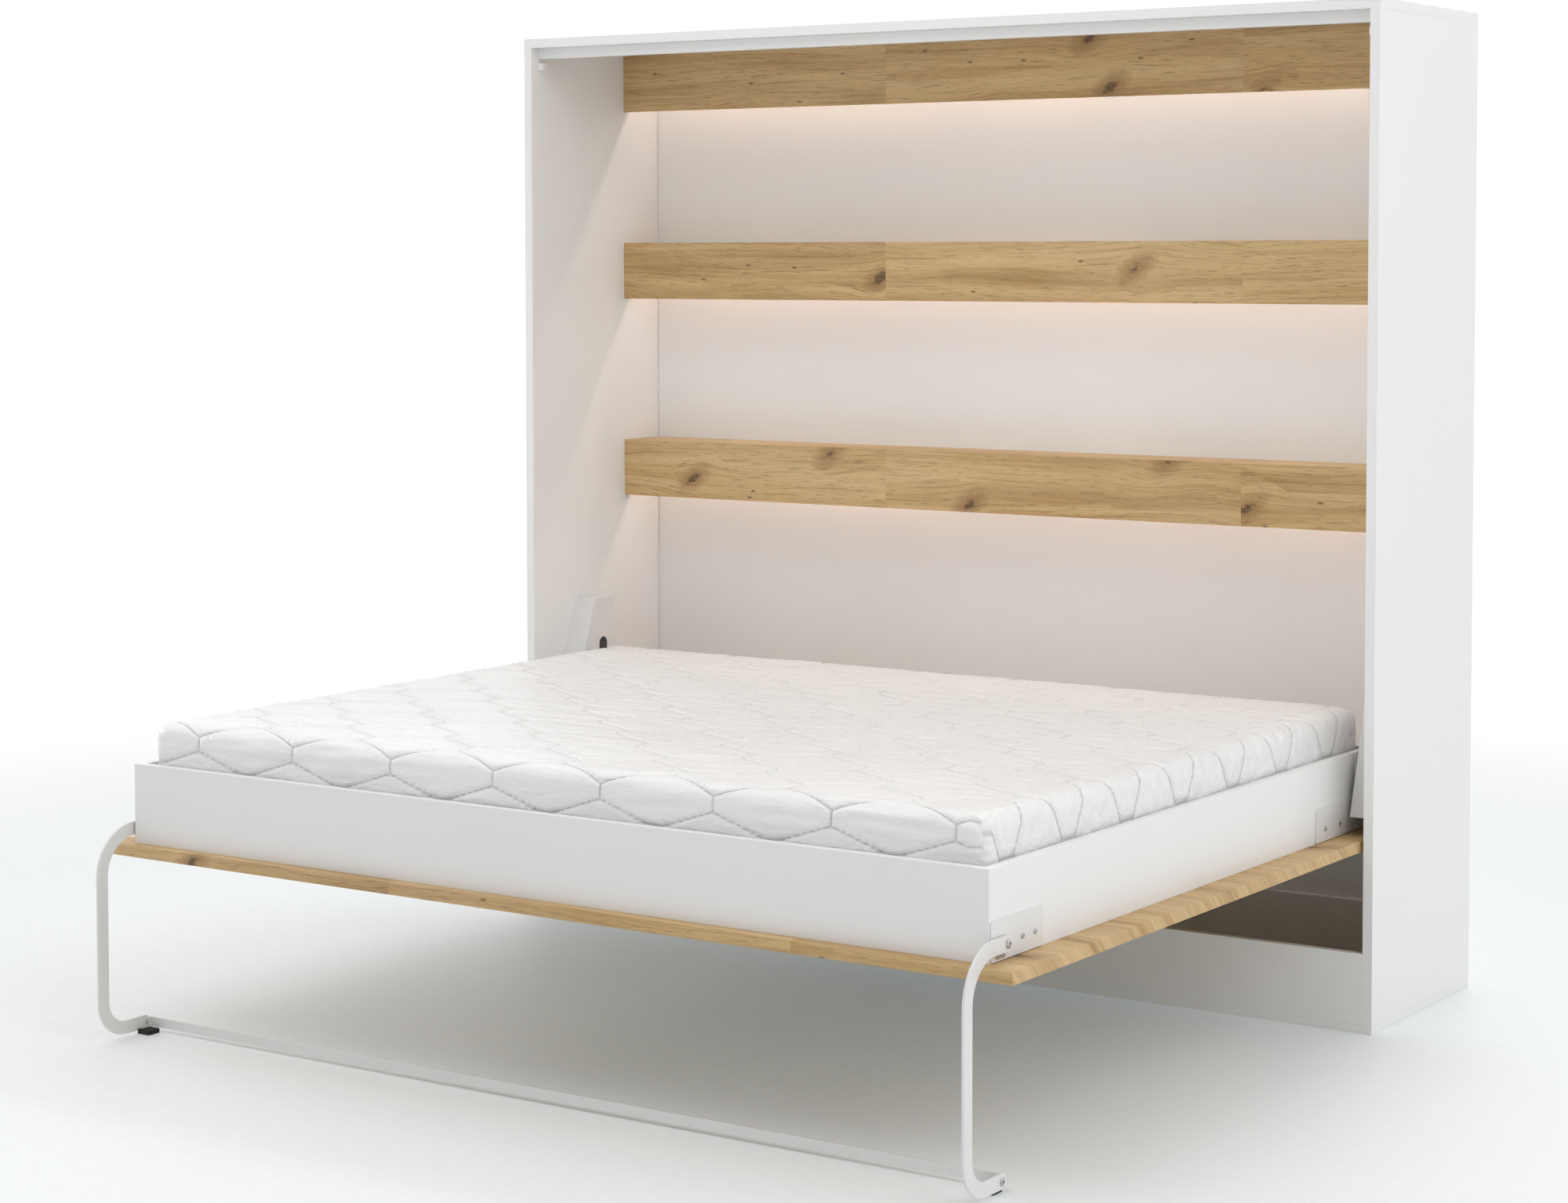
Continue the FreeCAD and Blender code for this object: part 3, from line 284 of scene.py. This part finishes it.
def oak_board():
    """Knotty oak decor whose grain runs along X; across the grain it is laid out by Y + Z, so that it
    carries round the edges of a board."""
    paint = Paint("oak_board", Specular_IOR_Level=0.35)
    axes = paint.parts(paint.place)
    along, across = axes["X"], paint.maths("ADD", axes["Y"], axes["Z"])

    # planks butted end to end, each with its own tone and its own stretch of grain
    plank = paint.maths("FLOOR", paint.maths("DIVIDE", paint.maths("ADD", along, PLANK_START), PLANK_LENGTH))
    plank_random = paint.add("TexWhiteNoise", {"W": plank}, noise_dimensions="1D").outputs["Value"]
    shifted = paint.maths("ADD", along, paint.maths("MULTIPLY", plank_random, 7.0))
    flat = paint.joined(X=shifted, Y=across)
    knots = oak_knots(paint, shifted, across, flat)

    # the grain wanders, and parts round a knot
    pull = paint.maths("MULTIPLY", knots.near, 0.75)
    bent = paint.maths("SUBTRACT", across, paint.maths("MULTIPLY", knots.off_across, pull))
    wander = paint.noise((1.4, 5, 1), place=flat, detail=2)
    bent = paint.maths("ADD", bent, paint.centred(wander, 50 * MM))
    grain = paint.joined(X=shifted, Y=bent, Z=paint.maths("MULTIPLY", plank_random, 9.0))
    bands = paint.noise((0.9, 26, 1), place=grain, detail=5, rough=0.62)
    fibres = paint.noise((5, 260, 1), place=grain, detail=3, rough=0.7)
    clouds = paint.noise((2.2, 7, 1), place=grain, detail=3, rough=0.55)
    pores = paint.noise((26, 620, 1), place=grain, detail=1)
    streaks = paint.noise((2.4, 120, 1), place=grain, detail=4, rough=0.7)

    tone = paint.steps(bands, (0.30, (0.370, 0.222, 0.088)), (0.46, (0.530, 0.345, 0.150)),
                       (0.56, (0.620, 0.425, 0.200)), (0.70, (0.690, 0.500, 0.265)))
    tone = paint.mix(paint.spread(clouds, 0.35, 0.70, 0.0, 0.55), tone, (0.660, 0.480, 0.262))
    tone = paint.mix(paint.spread(fibres, 0.50, 0.72, 0.0, 0.46), tone, (0.300, 0.170, 0.066))
    tone = paint.mix(paint.spread(streaks, 0.55, 0.74, 0.0, 0.60), tone, (0.270, 0.148, 0.056))
    tone = paint.mix(paint.spread(pores, 0.62, 0.70, 0.0, 0.55), tone, (0.150, 0.085, 0.040))
    tone = paint.mix(paint.spread(plank_random, 0, 1, 0.0, 0.16), tone, (0.420, 0.270, 0.120))
    tone = oak_knot_tone(paint, tone, knots, flat)
    relief = paint.maths("ADD", paint.maths("MULTIPLY", fibres, 0.7), paint.maths("MULTIPLY", pores, 0.5))
    paint.dress(Base_Color=tone, Roughness=paint.spread(fibres, 0.3, 0.8, 0.44, 0.58),
                Normal=paint.bump(relief, 0.12 * MM))
    return paint.material


def slat_wood():
    """Bent beech laminate: pale, with short flecks along the slat."""
    paint = Paint("slat_wood", Specular_IOR_Level=0.4)
    grain = paint.noise((120, 3, 300), detail=4, rough=0.6)
    flecks = paint.noise((500, 30, 500), detail=1)
    tone = paint.steps(grain, (0.3, (0.52, 0.36, 0.20)), (0.7, (0.70, 0.53, 0.34)))
    tone = paint.mix(paint.spread(flecks, 0.6, 0.75, 0, 0.5), tone, (0.36, 0.22, 0.11))
    paint.dress(Base_Color=tone, Roughness=0.42, Normal=paint.bump(grain, 0.1 * MM))
    return paint.material


def white_steel():
    """White powder coat with its fine orange peel."""
    paint = Paint("white_steel", Specular_IOR_Level=0.5)
    peel = paint.noise(EVEN, 420.0, detail=2, rough=0.4)
    tone = paint.noise(EVEN, 9.0, detail=2)
    base = paint.steps(tone, (0.3, (0.735, 0.735, 0.73)), (0.7, (0.755, 0.755, 0.75)))
    paint.dress(Base_Color=base, Roughness=paint.spread(peel, 0.3, 0.7, 0.30, 0.40),
                Normal=paint.bump(peel, 0.06 * MM))
    return paint.material


def plated_steel():
    """Zinc-plated steel: turned marks and faintly clouded plating."""
    paint = Paint("plated_steel", Metallic=1.0)
    cloud = paint.noise(EVEN, 160.0, detail=3)
    marks = paint.noise((1, 900, 900), detail=2)
    base = paint.steps(cloud, (0.3, (0.46, 0.46, 0.47)), (0.7, (0.62, 0.62, 0.61)))
    paint.dress(Base_Color=base, Roughness=paint.spread(cloud, 0.3, 0.7, 0.24, 0.42),
                Normal=paint.bump(marks, 0.02 * MM))
    return paint.material


def black_rubber():
    """Black rubber with a little dust on it."""
    paint = Paint("black_rubber", Specular_IOR_Level=0.3)
    grain = paint.noise(EVEN, 380.0, detail=3)
    dust = paint.noise(EVEN, 40.0, detail=4, rough=0.7)
    base = paint.steps(dust, (0.35, (0.012, 0.012, 0.013)), (0.75, (0.045, 0.044, 0.042)))
    paint.dress(Base_Color=base, Roughness=0.72, Normal=paint.bump(grain, 0.12 * MM))
    return paint.material


def moulded(name, dark, light, rough):
    """Moulded plastic with a spark-eroded skin."""
    paint = Paint(name, Specular_IOR_Level=0.45)
    skin = paint.noise(EVEN, 900.0, detail=2)
    tone = paint.noise(EVEN, 15.0, detail=2)
    paint.dress(Base_Color=paint.steps(tone, (0.3, dark), (0.7, light)), Roughness=rough,
                Normal=paint.bump(skin, 0.04 * MM))
    return paint.material


def light_aluminium():
    """Drawn aluminium with fine lines along it."""
    paint = Paint("light_aluminium", Metallic=1.0)
    drawn = paint.noise((2, 900, 900), detail=2)
    base = paint.steps(drawn, (0.3, (0.62, 0.62, 0.63)), (0.7, (0.76, 0.76, 0.77)))
    paint.dress(Base_Color=base, Roughness=0.36, Normal=paint.bump(drawn, 0.02 * MM))
    return paint.material


def diffuser_plastic():
    """Opal plastic lit from behind by a row of small warm lamps."""
    paint = Paint("diffuser_plastic", Base_Color=(0.9, 0.88, 0.84), Roughness=0.5)
    along = paint.parts(paint.place)["X"]
    pulse = paint.maths("SINE", paint.maths("MULTIPLY", along, math.tau / LAMP_PITCH))
    glow = paint.spread(pulse, -1, 1, 0.94 * LIGHT_STRENGTH, 1.06 * LIGHT_STRENGTH)
    paint.dress(Emission_Color=LIGHT_COLOUR, Emission_Strength=glow)
    return paint.material


def gas_tube():
    """Glossy grey enamel."""
    paint = Paint("gas_tube", Coat_Weight=0.4, Coat_Roughness=0.15)
    peel = paint.noise(EVEN, 300.0, detail=2)
    base = paint.steps(peel, (0.3, (0.47, 0.47, 0.48)), (0.7, (0.53, 0.53, 0.54)))
    paint.dress(Base_Color=base, Roughness=0.35, Normal=paint.bump(peel, 0.03 * MM))
    return paint.material


def gas_rod():
    """Ground and chromed steel."""
    paint = Paint("gas_rod", Metallic=1.0)
    ground = paint.noise((800, 60, 60), detail=2)
    base = paint.steps(ground, (0.3, (0.62, 0.62, 0.64)), (0.7, (0.78, 0.78, 0.79)))
    paint.dress(Base_Color=base, Roughness=paint.spread(ground, 0.3, 0.7, 0.08, 0.16))
    return paint.material


def mattress_fabric():
    """White satin-faced knit: fine wales and courses, with a soft sheen, and shade painted into the sewn
    grooves.
    """
    paint = Paint("mattress_fabric", Sheen_Weight=0.25, Sheen_Roughness=0.4, Specular_IOR_Level=0.65)
    threads = {"Vector": paint.place, "Distortion": 0.6, "Detail": 1.0}
    wales = paint.add("TexWave", {**threads, "Scale": 260.0}, bands_direction="X").outputs["Fac"]
    courses = paint.add("TexWave", {**threads, "Scale": 330.0}, bands_direction="Y").outputs["Fac"]
    tone = paint.noise(EVEN, 5.0, detail=4)
    slub = paint.noise((30, 220, 220), detail=2)
    base = paint.steps(tone, (0.3, (0.81, 0.81, 0.807)), (0.7, (0.84, 0.84, 0.837)))
    base = paint.mix(paint.spread(slub, 0.55, 0.8, 0, 0.12), base, (0.70, 0.70, 0.70))
    # painted shade: within a few millimetres of each seam the base colour is mixed towards dark grey, for the
    # shade inside the sewn grooves
    away = paint.add("Attribute", attribute_name="seam_distance").outputs["Fac"]
    base = paint.mix(paint.spread(away, 0.8 * MM, 3.6 * MM, 0.52, 0.0), base, (0.36, 0.36, 0.35))
    weave = paint.maths("MULTIPLY", wales, courses)
    creases = paint.noise((10, 34, 34), detail=5, rough=0.62, Distortion=0.8)
    normal = paint.bump(creases, 5.0 * MM)
    paint.dress(Base_Color=base, Roughness=paint.spread(slub, 0.3, 0.8, 0.27, 0.38),
                Normal=paint.bump(weave, 0.06 * MM, normal))
    return paint.material


def stitch_thread():
    """Twisted thread, a little darker than the cover."""
    paint = Paint("stitch_thread", Sheen_Weight=0.3, Sheen_Roughness=0.5)
    twist = paint.noise(EVEN, 1500.0, detail=1)
    base = paint.steps(twist, (0.3, (0.62, 0.62, 0.61)), (0.7, (0.80, 0.80, 0.79)))
    paint.dress(Base_Color=base, Roughness=0.6, Normal=paint.bump(twist, 0.1 * MM))
    return paint.material


MATERIALS = {
    "white_board": white_board(),
    "oak_board": oak_board(),
    "slat_wood": slat_wood(),
    "white_steel": white_steel(),
    "plated_steel": plated_steel(),
    "black_rubber": black_rubber(),
    "white_plastic": moulded("white_plastic", (0.76, 0.76, 0.75), (0.82, 0.82, 0.81), 0.45),
    "light_aluminium": light_aluminium(),
    "diffuser_plastic": diffuser_plastic(),
    "bush_plastic": moulded("bush_plastic", (0.02, 0.02, 0.02), (0.035, 0.035, 0.035), 0.5),
    "mattress_fabric": mattress_fabric(),
    "gas_tube": gas_tube(),
    "gas_rod": gas_rod(),
}


def dress_cad_nodes():
    """Every carried-over CAD node takes the material of its slot in the record."""
    for part in frame["record"]["subparts"]:
        node = frame["nodes"][part["node"]]
        node.data.materials.clear()
        node.data.materials.append(MATERIALS[part["material_slot"]])


FLOOR_CENTRE = (0, -0.7, -0.3 * MM)
FLOOR_RADIUS = 5.6
FLOOR_FADE_START = 2.2


def add_floor():
    """A pale floor that fades into the white background round the object."""
    paint = Paint("studio_floor", Roughness=0.55, Specular_IOR_Level=0.25)
    speckle = paint.noise(EVEN, 30.0, detail=3)
    base = paint.steps(speckle, (0.3, (0.705, 0.69, 0.675)), (0.7, (0.725, 0.71, 0.695)))
    paint.dress(Base_Color=base, Emission_Color=(0.66, 0.88, 1.0), Emission_Strength=0.16)
    away = paint.add("VectorMath", {0: paint.place}, operation="LENGTH").outputs["Value"]
    fade = paint.spread(away, FLOOR_FADE_START, FLOOR_RADIUS)
    fade.node.interpolation_type = "SMOOTHSTEP"
    clear = paint.add("BsdfTransparent").outputs[0]
    blend = paint.add("MixShader", {0: fade, 1: paint.shader.outputs[0], 2: clear}).outputs[0]
    paint.links.new(blend, paint.nodes["Material Output"].inputs["Surface"])
    mesh = bpy.data.meshes.new("floor")
    shape = bmesh.new()
    bmesh.ops.create_circle(shape, cap_ends=True, segments=96, radius=FLOOR_RADIUS)
    shape.to_mesh(mesh)
    shape.free()
    mesh.materials.append(paint.material)
    floor = bpy.data.objects.new("floor", mesh)
    floor.location = FLOOR_CENTRE
    scene.collection.objects.link(floor)


dress_cad_nodes()
add_floor()


# ---------------------------------------------------------------- mattress
# The cover is quilted in one honeycomb sheet that wraps over the top and down the four sides. U and V are
# places on that sheet: U runs along X and V along Y, and both go on down the sides.
MATTRESS_LOW = Vector((-0.998, -1.659, 0.4555))
MATTRESS_HIGH = Vector((0.998, -0.063, 0.6535))
EDGE_RADIUS = 0.034
FLAT_LOW = MATTRESS_LOW + Vector((EDGE_RADIUS,) * 3)
FLAT_HIGH = MATTRESS_HIGH - Vector((EDGE_RADIUS,) * 3)
UNDERSIDE = MATTRESS_LOW.z + EDGE_RADIUS * 0.8
CROWN_HEIGHT = 0.004
MESH_PITCH = 0.0105

# the honeycomb: its cells, the short seams between two cells side by side, and where one of those is
CELL_WIDTH = 0.258
CELL_LENGTH = 0.224
SHORT_SEAM = 0.047
SEAM_RISE = CELL_LENGTH / 2 - SHORT_SEAM
FIRST_SHORT_SEAM = (0.812, -1.575)

# the sheet lies plain over the rounded edge, and on the front and back its cells are shorter below that
PLAIN_WRAP = 0.037
SIDE_STRETCH = 1.54

# how far the cover may swell, where the bed's frame is beside it, above the frame, and on the top
RAIL_TOP = 0.568
SWELL_IN_FRAME = 0.003
SWELL_ABOVE_FRAME = 0.012
SWELL_ON_TOP = 0.014
MOST_SINK = 0.004
CLOTH_FRAMES = 20

# the depth and half-width of a sewn groove, and the height of the puckers beside it and of the wrinkles
GROOVE_DEPTH = 0.0040
GROOVE_WIDTH = 0.0042
PUCKER_HEIGHT = 0.0016
PUCKER_PITCH = 0.017
PUCKER_PLACE = 0.011
PUCKER_WIDTH = 0.009
WRINKLE_HEIGHT = 0.0036
WRINKLE_CLEAR = 0.014
WRINKLES_PER_METRE = np.array((6.5, 52, 52))
STITCH_PITCH = 0.0065
THREAD_RADIUS = 0.00055


def box_shell(low, high, pitch):
    """Points and faces of a box's four sides and top in a square net, with the underside left open."""
    x, y, z = axes = range(3)
    count = [max(1, round((high[axis] - low[axis]) / pitch)) for axis in axes]
    index, points, faces = {}, [], []

    def corner(*place):
        if place not in index:
            index[place] = len(points)
            points.append([low[axis] + (high[axis] - low[axis]) * place[axis] / count[axis] for axis in axes])
        return index[place]

    def net(across, up, fixed, level, turned):
        for i in range(count[across]):
            for j in range(count[up]):
                loop = []
                for di, dj in ((0, 0), (1, 0), (1, 1), (0, 1)):
                    place = [0, 0, 0]
                    place[across], place[up], place[fixed] = i + di, j + dj, level
                    loop.append(corner(*place))
                faces.append(loop[::-1] if turned else loop)

    net(x, y, z, count[z], turned=False)
    net(x, z, y, 0, turned=False)
    net(x, z, y, count[y], turned=True)
    net(y, z, x, count[x], turned=False)
    net(y, z, x, 0, turned=True)
    return np.array(points), faces


def rounded(points):
    """The box's points moved onto its rounded form, with the outward normal of each."""
    core = np.clip(points, FLAT_LOW, FLAT_HIGH)
    out = points - core
    normals = unit(out)
    return core + normals * EDGE_RADIUS, normals


def unit(vectors):
    return vectors / np.maximum(np.linalg.norm(vectors, axis=1, keepdims=True), 1e-9)


def sheet_place(points):
    """U, V, the unit vectors along them, and how much shorter V is on the form than on the sheet, for points
    on or near the rounded form."""
    core = np.clip(points, FLAT_LOW, FLAT_HIGH)
    normals = unit(points - core)
    on_x = np.abs(normals[:, 0]) > np.abs(normals[:, 1])
    flat = unit(np.where(on_x[:, None], normals * (1, 0, 1), normals * (0, 1, 1)))
    lean = np.arccos(np.clip(flat[:, 2], 0, 1))
    drop = np.where(lean > math.pi / 2 - 1e-3, FLAT_HIGH.z - points[:, 2], 0)
    wrap = EDGE_RADIUS * lean + np.maximum(drop, 0)
    stretched = np.where(wrap > PLAIN_WRAP, PLAIN_WRAP + SIDE_STRETCH * (wrap - PLAIN_WRAP), wrap)
    u = core[:, 0] + np.where(on_x, np.sign(normals[:, 0]) * wrap, 0)
    v = core[:, 1] + np.where(on_x, 0, np.sign(normals[:, 1]) * stretched)
    along_x, along_y = np.array((1.0, 0, 0)), np.array((0, 1.0, 0))
    to_u = np.where(on_x[:, None], np.cross(along_y, flat), along_x)
    to_v = np.where(on_x[:, None], along_y, np.cross(flat, along_x))
    stretch = np.where(~on_x & (wrap > PLAIN_WRAP), SIDE_STRETCH, 1.0)
    return u, v, to_u, to_v, stretch


def nearest_seam(u, v):
    """How far the nearest seam is, the step to it in U and V, and how far along the seam that is."""
    half_width, half_length = CELL_WIDTH / 2, CELL_LENGTH / 2
    best = np.full(u.shape, np.inf)
    step_u, step_v, along = np.zeros_like(u), np.zeros_like(u), np.zeros_like(u)
    column = np.round((u - FIRST_SHORT_SEAM[0]) / half_width)
    for side in (-1, 0, 1):
        here = column + side
        start_u = FIRST_SHORT_SEAM[0] + here * half_width
        first_v = FIRST_SHORT_SEAM[1] + np.where(here % 2 == 0, 0.0, half_length)
        row = np.round((v - first_v) / CELL_LENGTH)
        for hop in (-1, 0, 1):
            low_v = first_v + (row + hop) * CELL_LENGTH - SHORT_SEAM / 2
            high_v = low_v + SHORT_SEAM
            slants = [(high_v, way * half_width, SEAM_RISE) for way in (1, -1)]
            for from_v, to_u, to_v in [(low_v, 0, SHORT_SEAM), *slants]:
                share = ((u - start_u) * to_u + (v - from_v) * to_v) / (to_u * to_u + to_v * to_v)
                share = np.clip(share, 0, 1)
                off_u, off_v = start_u + share * to_u - u, from_v + share * to_v - v
                away = np.hypot(off_u, off_v)
                closer = away < best
                best = np.where(closer, away, best)
                step_u = np.where(closer, off_u, step_u)
                step_v = np.where(closer, off_v, step_v)
                along = np.where(closer, share * math.hypot(to_u, to_v) + here * 0.37, along)
    return best, step_u, step_v, along


def onto_seams(points, reach):
    """Moves the points within reach of a seam sideways onto it, and says which they are."""
    u, v, to_u, to_v, stretch = sheet_place(points)
    away, step_u, step_v, _ = nearest_seam(u, v)
    over = np.abs(points - np.clip(points, FLAT_LOW, FLAT_HIGH))
    corner = (over[:, 0] > MM) & (over[:, 1] > MM)
    taken = (away < reach) & ~corner & (points[:, 2] > FLAT_LOW.z)
    moved = to_u * step_u[:, None] + to_v * (step_v / stretch)[:, None]
    return points + np.where(taken[:, None], moved, 0), taken


def swell(mattress, taken):
    """Blows the cover up between its seams, as Cloth with pressure, and returns the places that the cloth
    reaches.
    """
    held = mattress.vertex_groups.new(name="held")
    low = [vertex.index for vertex in mattress.data.vertices if vertex.co.z < UNDERSIDE]
    held.add([int(i) for i in np.flatnonzero(taken)] + low, 1.0, "REPLACE")
    cloth = mattress.modifiers.new("cloth", "CLOTH")
    settings = cloth.settings
    settings.quality = 5
    settings.mass = 0.3
    settings.effector_weights.gravity = 0
    settings.use_pressure = True
    settings.uniform_pressure_force = 4.0
    settings.shrink_min = -0.022
    settings.tension_stiffness = 12
    settings.compression_stiffness = 8
    settings.shear_stiffness = 5
    settings.bending_stiffness = 0.15
    settings.air_damping = 2
    settings.vertex_group_mass = "held"
    cloth.collision_settings.use_collision = False
    cloth.point_cache.frame_start, cloth.point_cache.frame_end = 1, CLOTH_FRAMES
    for step in range(1, CLOTH_FRAMES + 1):
        scene.frame_set(step)
    solved = mattress.evaluated_get(bpy.context.evaluated_depsgraph_get())
    places = read_points(solved.data)
    mattress.modifiers.remove(cloth)
    mattress.vertex_groups.remove(held)
    scene.frame_set(1)
    return places


def read_points(mesh):
    places = np.empty(len(mesh.vertices) * 3)
    mesh.vertices.foreach_get("co", places)
    return places.reshape(-1, 3)


def write_points(mesh, places):
    mesh.vertices.foreach_set("co", np.ascontiguousarray(places, dtype=np.float32).ravel())
    mesh.update()


def add_mattress():
    """The quilted cover: a rounded box swollen between its seams, refined once, sewn and closed."""
    box_points, faces = box_shell(MATTRESS_LOW, MATTRESS_HIGH, MESH_PITCH)
    points, normals = rounded(box_points)
    points, taken = onto_seams(points, MESH_PITCH * 0.52)
    points[:, 2] += CROWN_HEIGHT * crown(points)
    mesh = bpy.data.meshes.new("mattress_cover")
    mesh.from_pydata(points.tolist(), [], faces)
    mattress = bpy.data.objects.new("mattress_cover", mesh)
    scene.collection.objects.link(mattress)

    swollen = swell(mattress, taken)
    write_points(mesh, capped(points, normals, swollen))

    # one subdivision, then the stitched grooves, the puckers beside them and the long fine wrinkles
    finer = mattress.modifiers.new("finer", "SUBSURF")
    finer.levels = 1
    solved = mattress.evaluated_get(bpy.context.evaluated_depsgraph_get())
    mattress.data = bpy.data.meshes.new_from_object(solved)
    mattress.data.name = "mattress_cover"
    mattress.modifiers.clear()
    sew(mattress.data)
    close_underside(mattress.data)
    finish_mesh(mattress.data, MATERIALS["mattress_fabric"])
    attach(mattress, "bed")
    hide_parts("mattress")
    return mattress


def close_underside(mesh):
    """One flat face where the mattress rests on the slats."""
    shape = bmesh.new()
    shape.from_mesh(mesh)
    rim = [edge for edge in shape.edges if edge.is_boundary]
    bmesh.ops.holes_fill(shape, edges=rim, sides=0)
    shape.to_mesh(mesh)
    shape.free()


def crown(points):
    """0 at the edges to 1 in the middle of the top, and nothing on the sides."""
    middle = (np.array(MATTRESS_LOW) + MATTRESS_HIGH) / 2
    half = (np.array(MATTRESS_HIGH) - MATTRESS_LOW) / 2
    along, across = (np.clip(np.abs((points - middle)[:, i]) / half[i], 0, 1) for i in (0, 1))
    height = np.clip((points[:, 2] - MATTRESS_LOW.z) / (MATTRESS_HIGH.z - MATTRESS_LOW.z), 0, 1)
    return (1 - along ** 4) * (1 - across ** 4) * height


def capped(points, normals, swollen):
    """The swollen cover, held to what its neighbours and the slats leave it."""
    moved = swollen - points
    most = np.where(points[:, 2] > RAIL_TOP, SWELL_ABOVE_FRAME, SWELL_IN_FRAME)
    most = np.where(normals[:, 2] > 0.5, SWELL_ON_TOP, most)
    length = np.linalg.norm(moved, axis=1)
    moved *= np.minimum(1, most / np.maximum(length, 1e-9))[:, None]
    out = np.einsum("ij,ij->i", moved, normals)
    moved -= normals * np.minimum(out + MOST_SINK, 0)[:, None]
    moved[points[:, 2] < UNDERSIDE] = 0
    return points + moved


def finish_mesh(mesh, material):
    """Smooth shading and one material."""
    for polygon in mesh.polygons:
        polygon.use_smooth = True
    mesh.materials.clear()
    mesh.materials.append(material)


def ripple(points, scale, seed):
    """Smooth noise from -1 to 1 at each point."""
    return np.array([noise.noise(Vector(p)) for p in points * scale + seed])


def sew(mesh):
    """Presses in the sewn grooves, and raises the puckers beside them and the long fine wrinkles."""
    points = read_points(mesh)
    normals = np.empty(len(mesh.vertices) * 3)
    mesh.vertex_normals.foreach_get("vector", normals)
    normals = normals.reshape(-1, 3)
    u, v, *_ = sheet_place(points)
    away, _, _, along = nearest_seam(u, v)
    # the distance to the nearest seam, kept for the fabric material, which paints shade into the grooves from
    # it
    distance = mesh.attributes.new("seam_distance", "FLOAT", "POINT")
    distance.data.foreach_set("value", away.astype(np.float32))

    quilted = np.clip((points[:, 2] - MATTRESS_LOW.z - 0.03) / 0.02, 0, 1)
    groove = -GROOVE_DEPTH * np.exp(-(away / GROOVE_WIDTH) ** 2)
    pucker = np.sin(along * math.tau / PUCKER_PITCH + 5 * ripple(points, 20, 3.1))
    beside = np.exp(-((away - PUCKER_PLACE) / PUCKER_WIDTH) ** 2)
    pucker *= PUCKER_HEIGHT * beside * (0.5 + ripple(points, 9, 7.7))
    wrinkle = ripple(points, WRINKLES_PER_METRE, 11.3) * (0.6 + ripple(points, 4, 5.9))
    wrinkle *= WRINKLE_HEIGHT * (1 - np.exp(-(away / WRINKLE_CLEAR) ** 2))
    height = (groove + pucker + wrinkle) * quilted
    write_points(mesh, points + normals * height[:, None])


def on_form(u, v):
    """The place on the rounded form and its outward normal, for a place on the quilted sheet, or None at a
    corner."""
    over_u = max(FLAT_LOW.x - u, u - FLAT_HIGH.x, 0)
    over_v = max(FLAT_LOW.y - v, v - FLAT_HIGH.y, 0)
    if over_u and over_v:
        return None
    if over_v > PLAIN_WRAP:
        over_v = PLAIN_WRAP + (over_v - PLAIN_WRAP) / SIDE_STRETCH
    wrap = over_u + over_v
    lean = min(wrap / EDGE_RADIUS, math.pi / 2)
    drop = max(wrap - EDGE_RADIUS * math.pi / 2, 0)
    middle_v = (FLAT_LOW.y + FLAT_HIGH.y) / 2
    along_x, along_y = Vector((math.copysign(1, u), 0, 0)), Vector((0, math.copysign(1, v - middle_v), 0))
    side = along_x if over_u else along_y
    core_x = min(max(u, FLAT_LOW.x), FLAT_HIGH.x)
    core_y = min(max(v, FLAT_LOW.y), FLAT_HIGH.y)
    core = Vector((core_x, core_y, FLAT_HIGH.z - drop))
    normal = side * math.sin(lean) + Vector((0, 0, math.cos(lean)))
    return core + normal * EDGE_RADIUS, normal


def seam_lines():
    """Both ends of every seam that the cover needs, as places on the quilted sheet."""
    reach = Vector((1.25, 1.10))   # from the middle, as far as the sheet goes down the sides
    middle = (MATTRESS_LOW + MATTRESS_HIGH) / 2
    for column in range(-30, 30):
        u = FIRST_SHORT_SEAM[0] + column * CELL_WIDTH / 2
        shift = 0 if column % 2 == 0 else CELL_LENGTH / 2
        for row in range(-20, 30):
            v = FIRST_SHORT_SEAM[1] + shift + row * CELL_LENGTH
            if abs(u - middle.x) > reach.x or abs(v - middle.y) > reach.y:
                continue
            low = Vector((u, v - SHORT_SEAM / 2))
            high = Vector((u, v + SHORT_SEAM / 2))
            yield low, high
            for way in (-1, 1):
                yield high, high + Vector((way * CELL_WIDTH / 2, SEAM_RISE))


def add_stitching(mattress):
    """The dotted thread in the grooves, one small stitch to each STITCH_PITCH."""
    tree = BVHTree.FromObject(mattress, bpy.context.evaluated_depsgraph_get())
    lowest = FLAT_LOW.z + 10 * MM
    verts, faces = [], []
    for start, end in seam_lines():
        count = max(1, round((end - start).length / STITCH_PITCH))
        for number in range(count):
            ends = [on_form(*start.lerp(end, (number + share) / count)) for share in (0.18, 0.82)]
            if None in ends or min(place.z for place, _ in ends) < lowest:
                continue
            laid = [tree.find_nearest(place)[0] for place, _ in ends]
            add_stitch(verts, faces, laid[0], laid[1], ends[0][1])
    mesh = bpy.data.meshes.new("mattress_stitching")
    mesh.from_pydata(verts, [], faces)
    finish_mesh(mesh, stitch_thread())
    stitching = bpy.data.objects.new("mattress_stitching", mesh)
    scene.collection.objects.link(stitching)
    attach(stitching, "bed")


def add_stitch(verts, faces, start, end, normal):
    """A short round-ended thread from start to end, half sunk in the cover."""
    along = end - start
    if along.length < THREAD_RADIUS:
        return
    side = along.cross(normal).normalized() * THREAD_RADIUS
    rise = normal * THREAD_RADIUS
    tip = len(verts)
    verts.append(start[:])
    for share in (0.2, 0.8):
        middle = start + along * share + rise * 0.5
        verts.extend((middle + out)[:] for out in (side, rise, -side, -rise))
    verts.append(end[:])
    corners = 4
    near_ring, far_ring, far_tip = tip + 1, tip + 1 + corners, tip + 1 + 2 * corners
    for i in range(corners):
        j = (i + 1) % corners
        faces.append((tip, near_ring + i, near_ring + j))
        faces.append((near_ring + i, far_ring + i, far_ring + j, near_ring + j))
        faces.append((far_tip, far_ring + j, far_ring + i))


add_stitching(add_mattress())
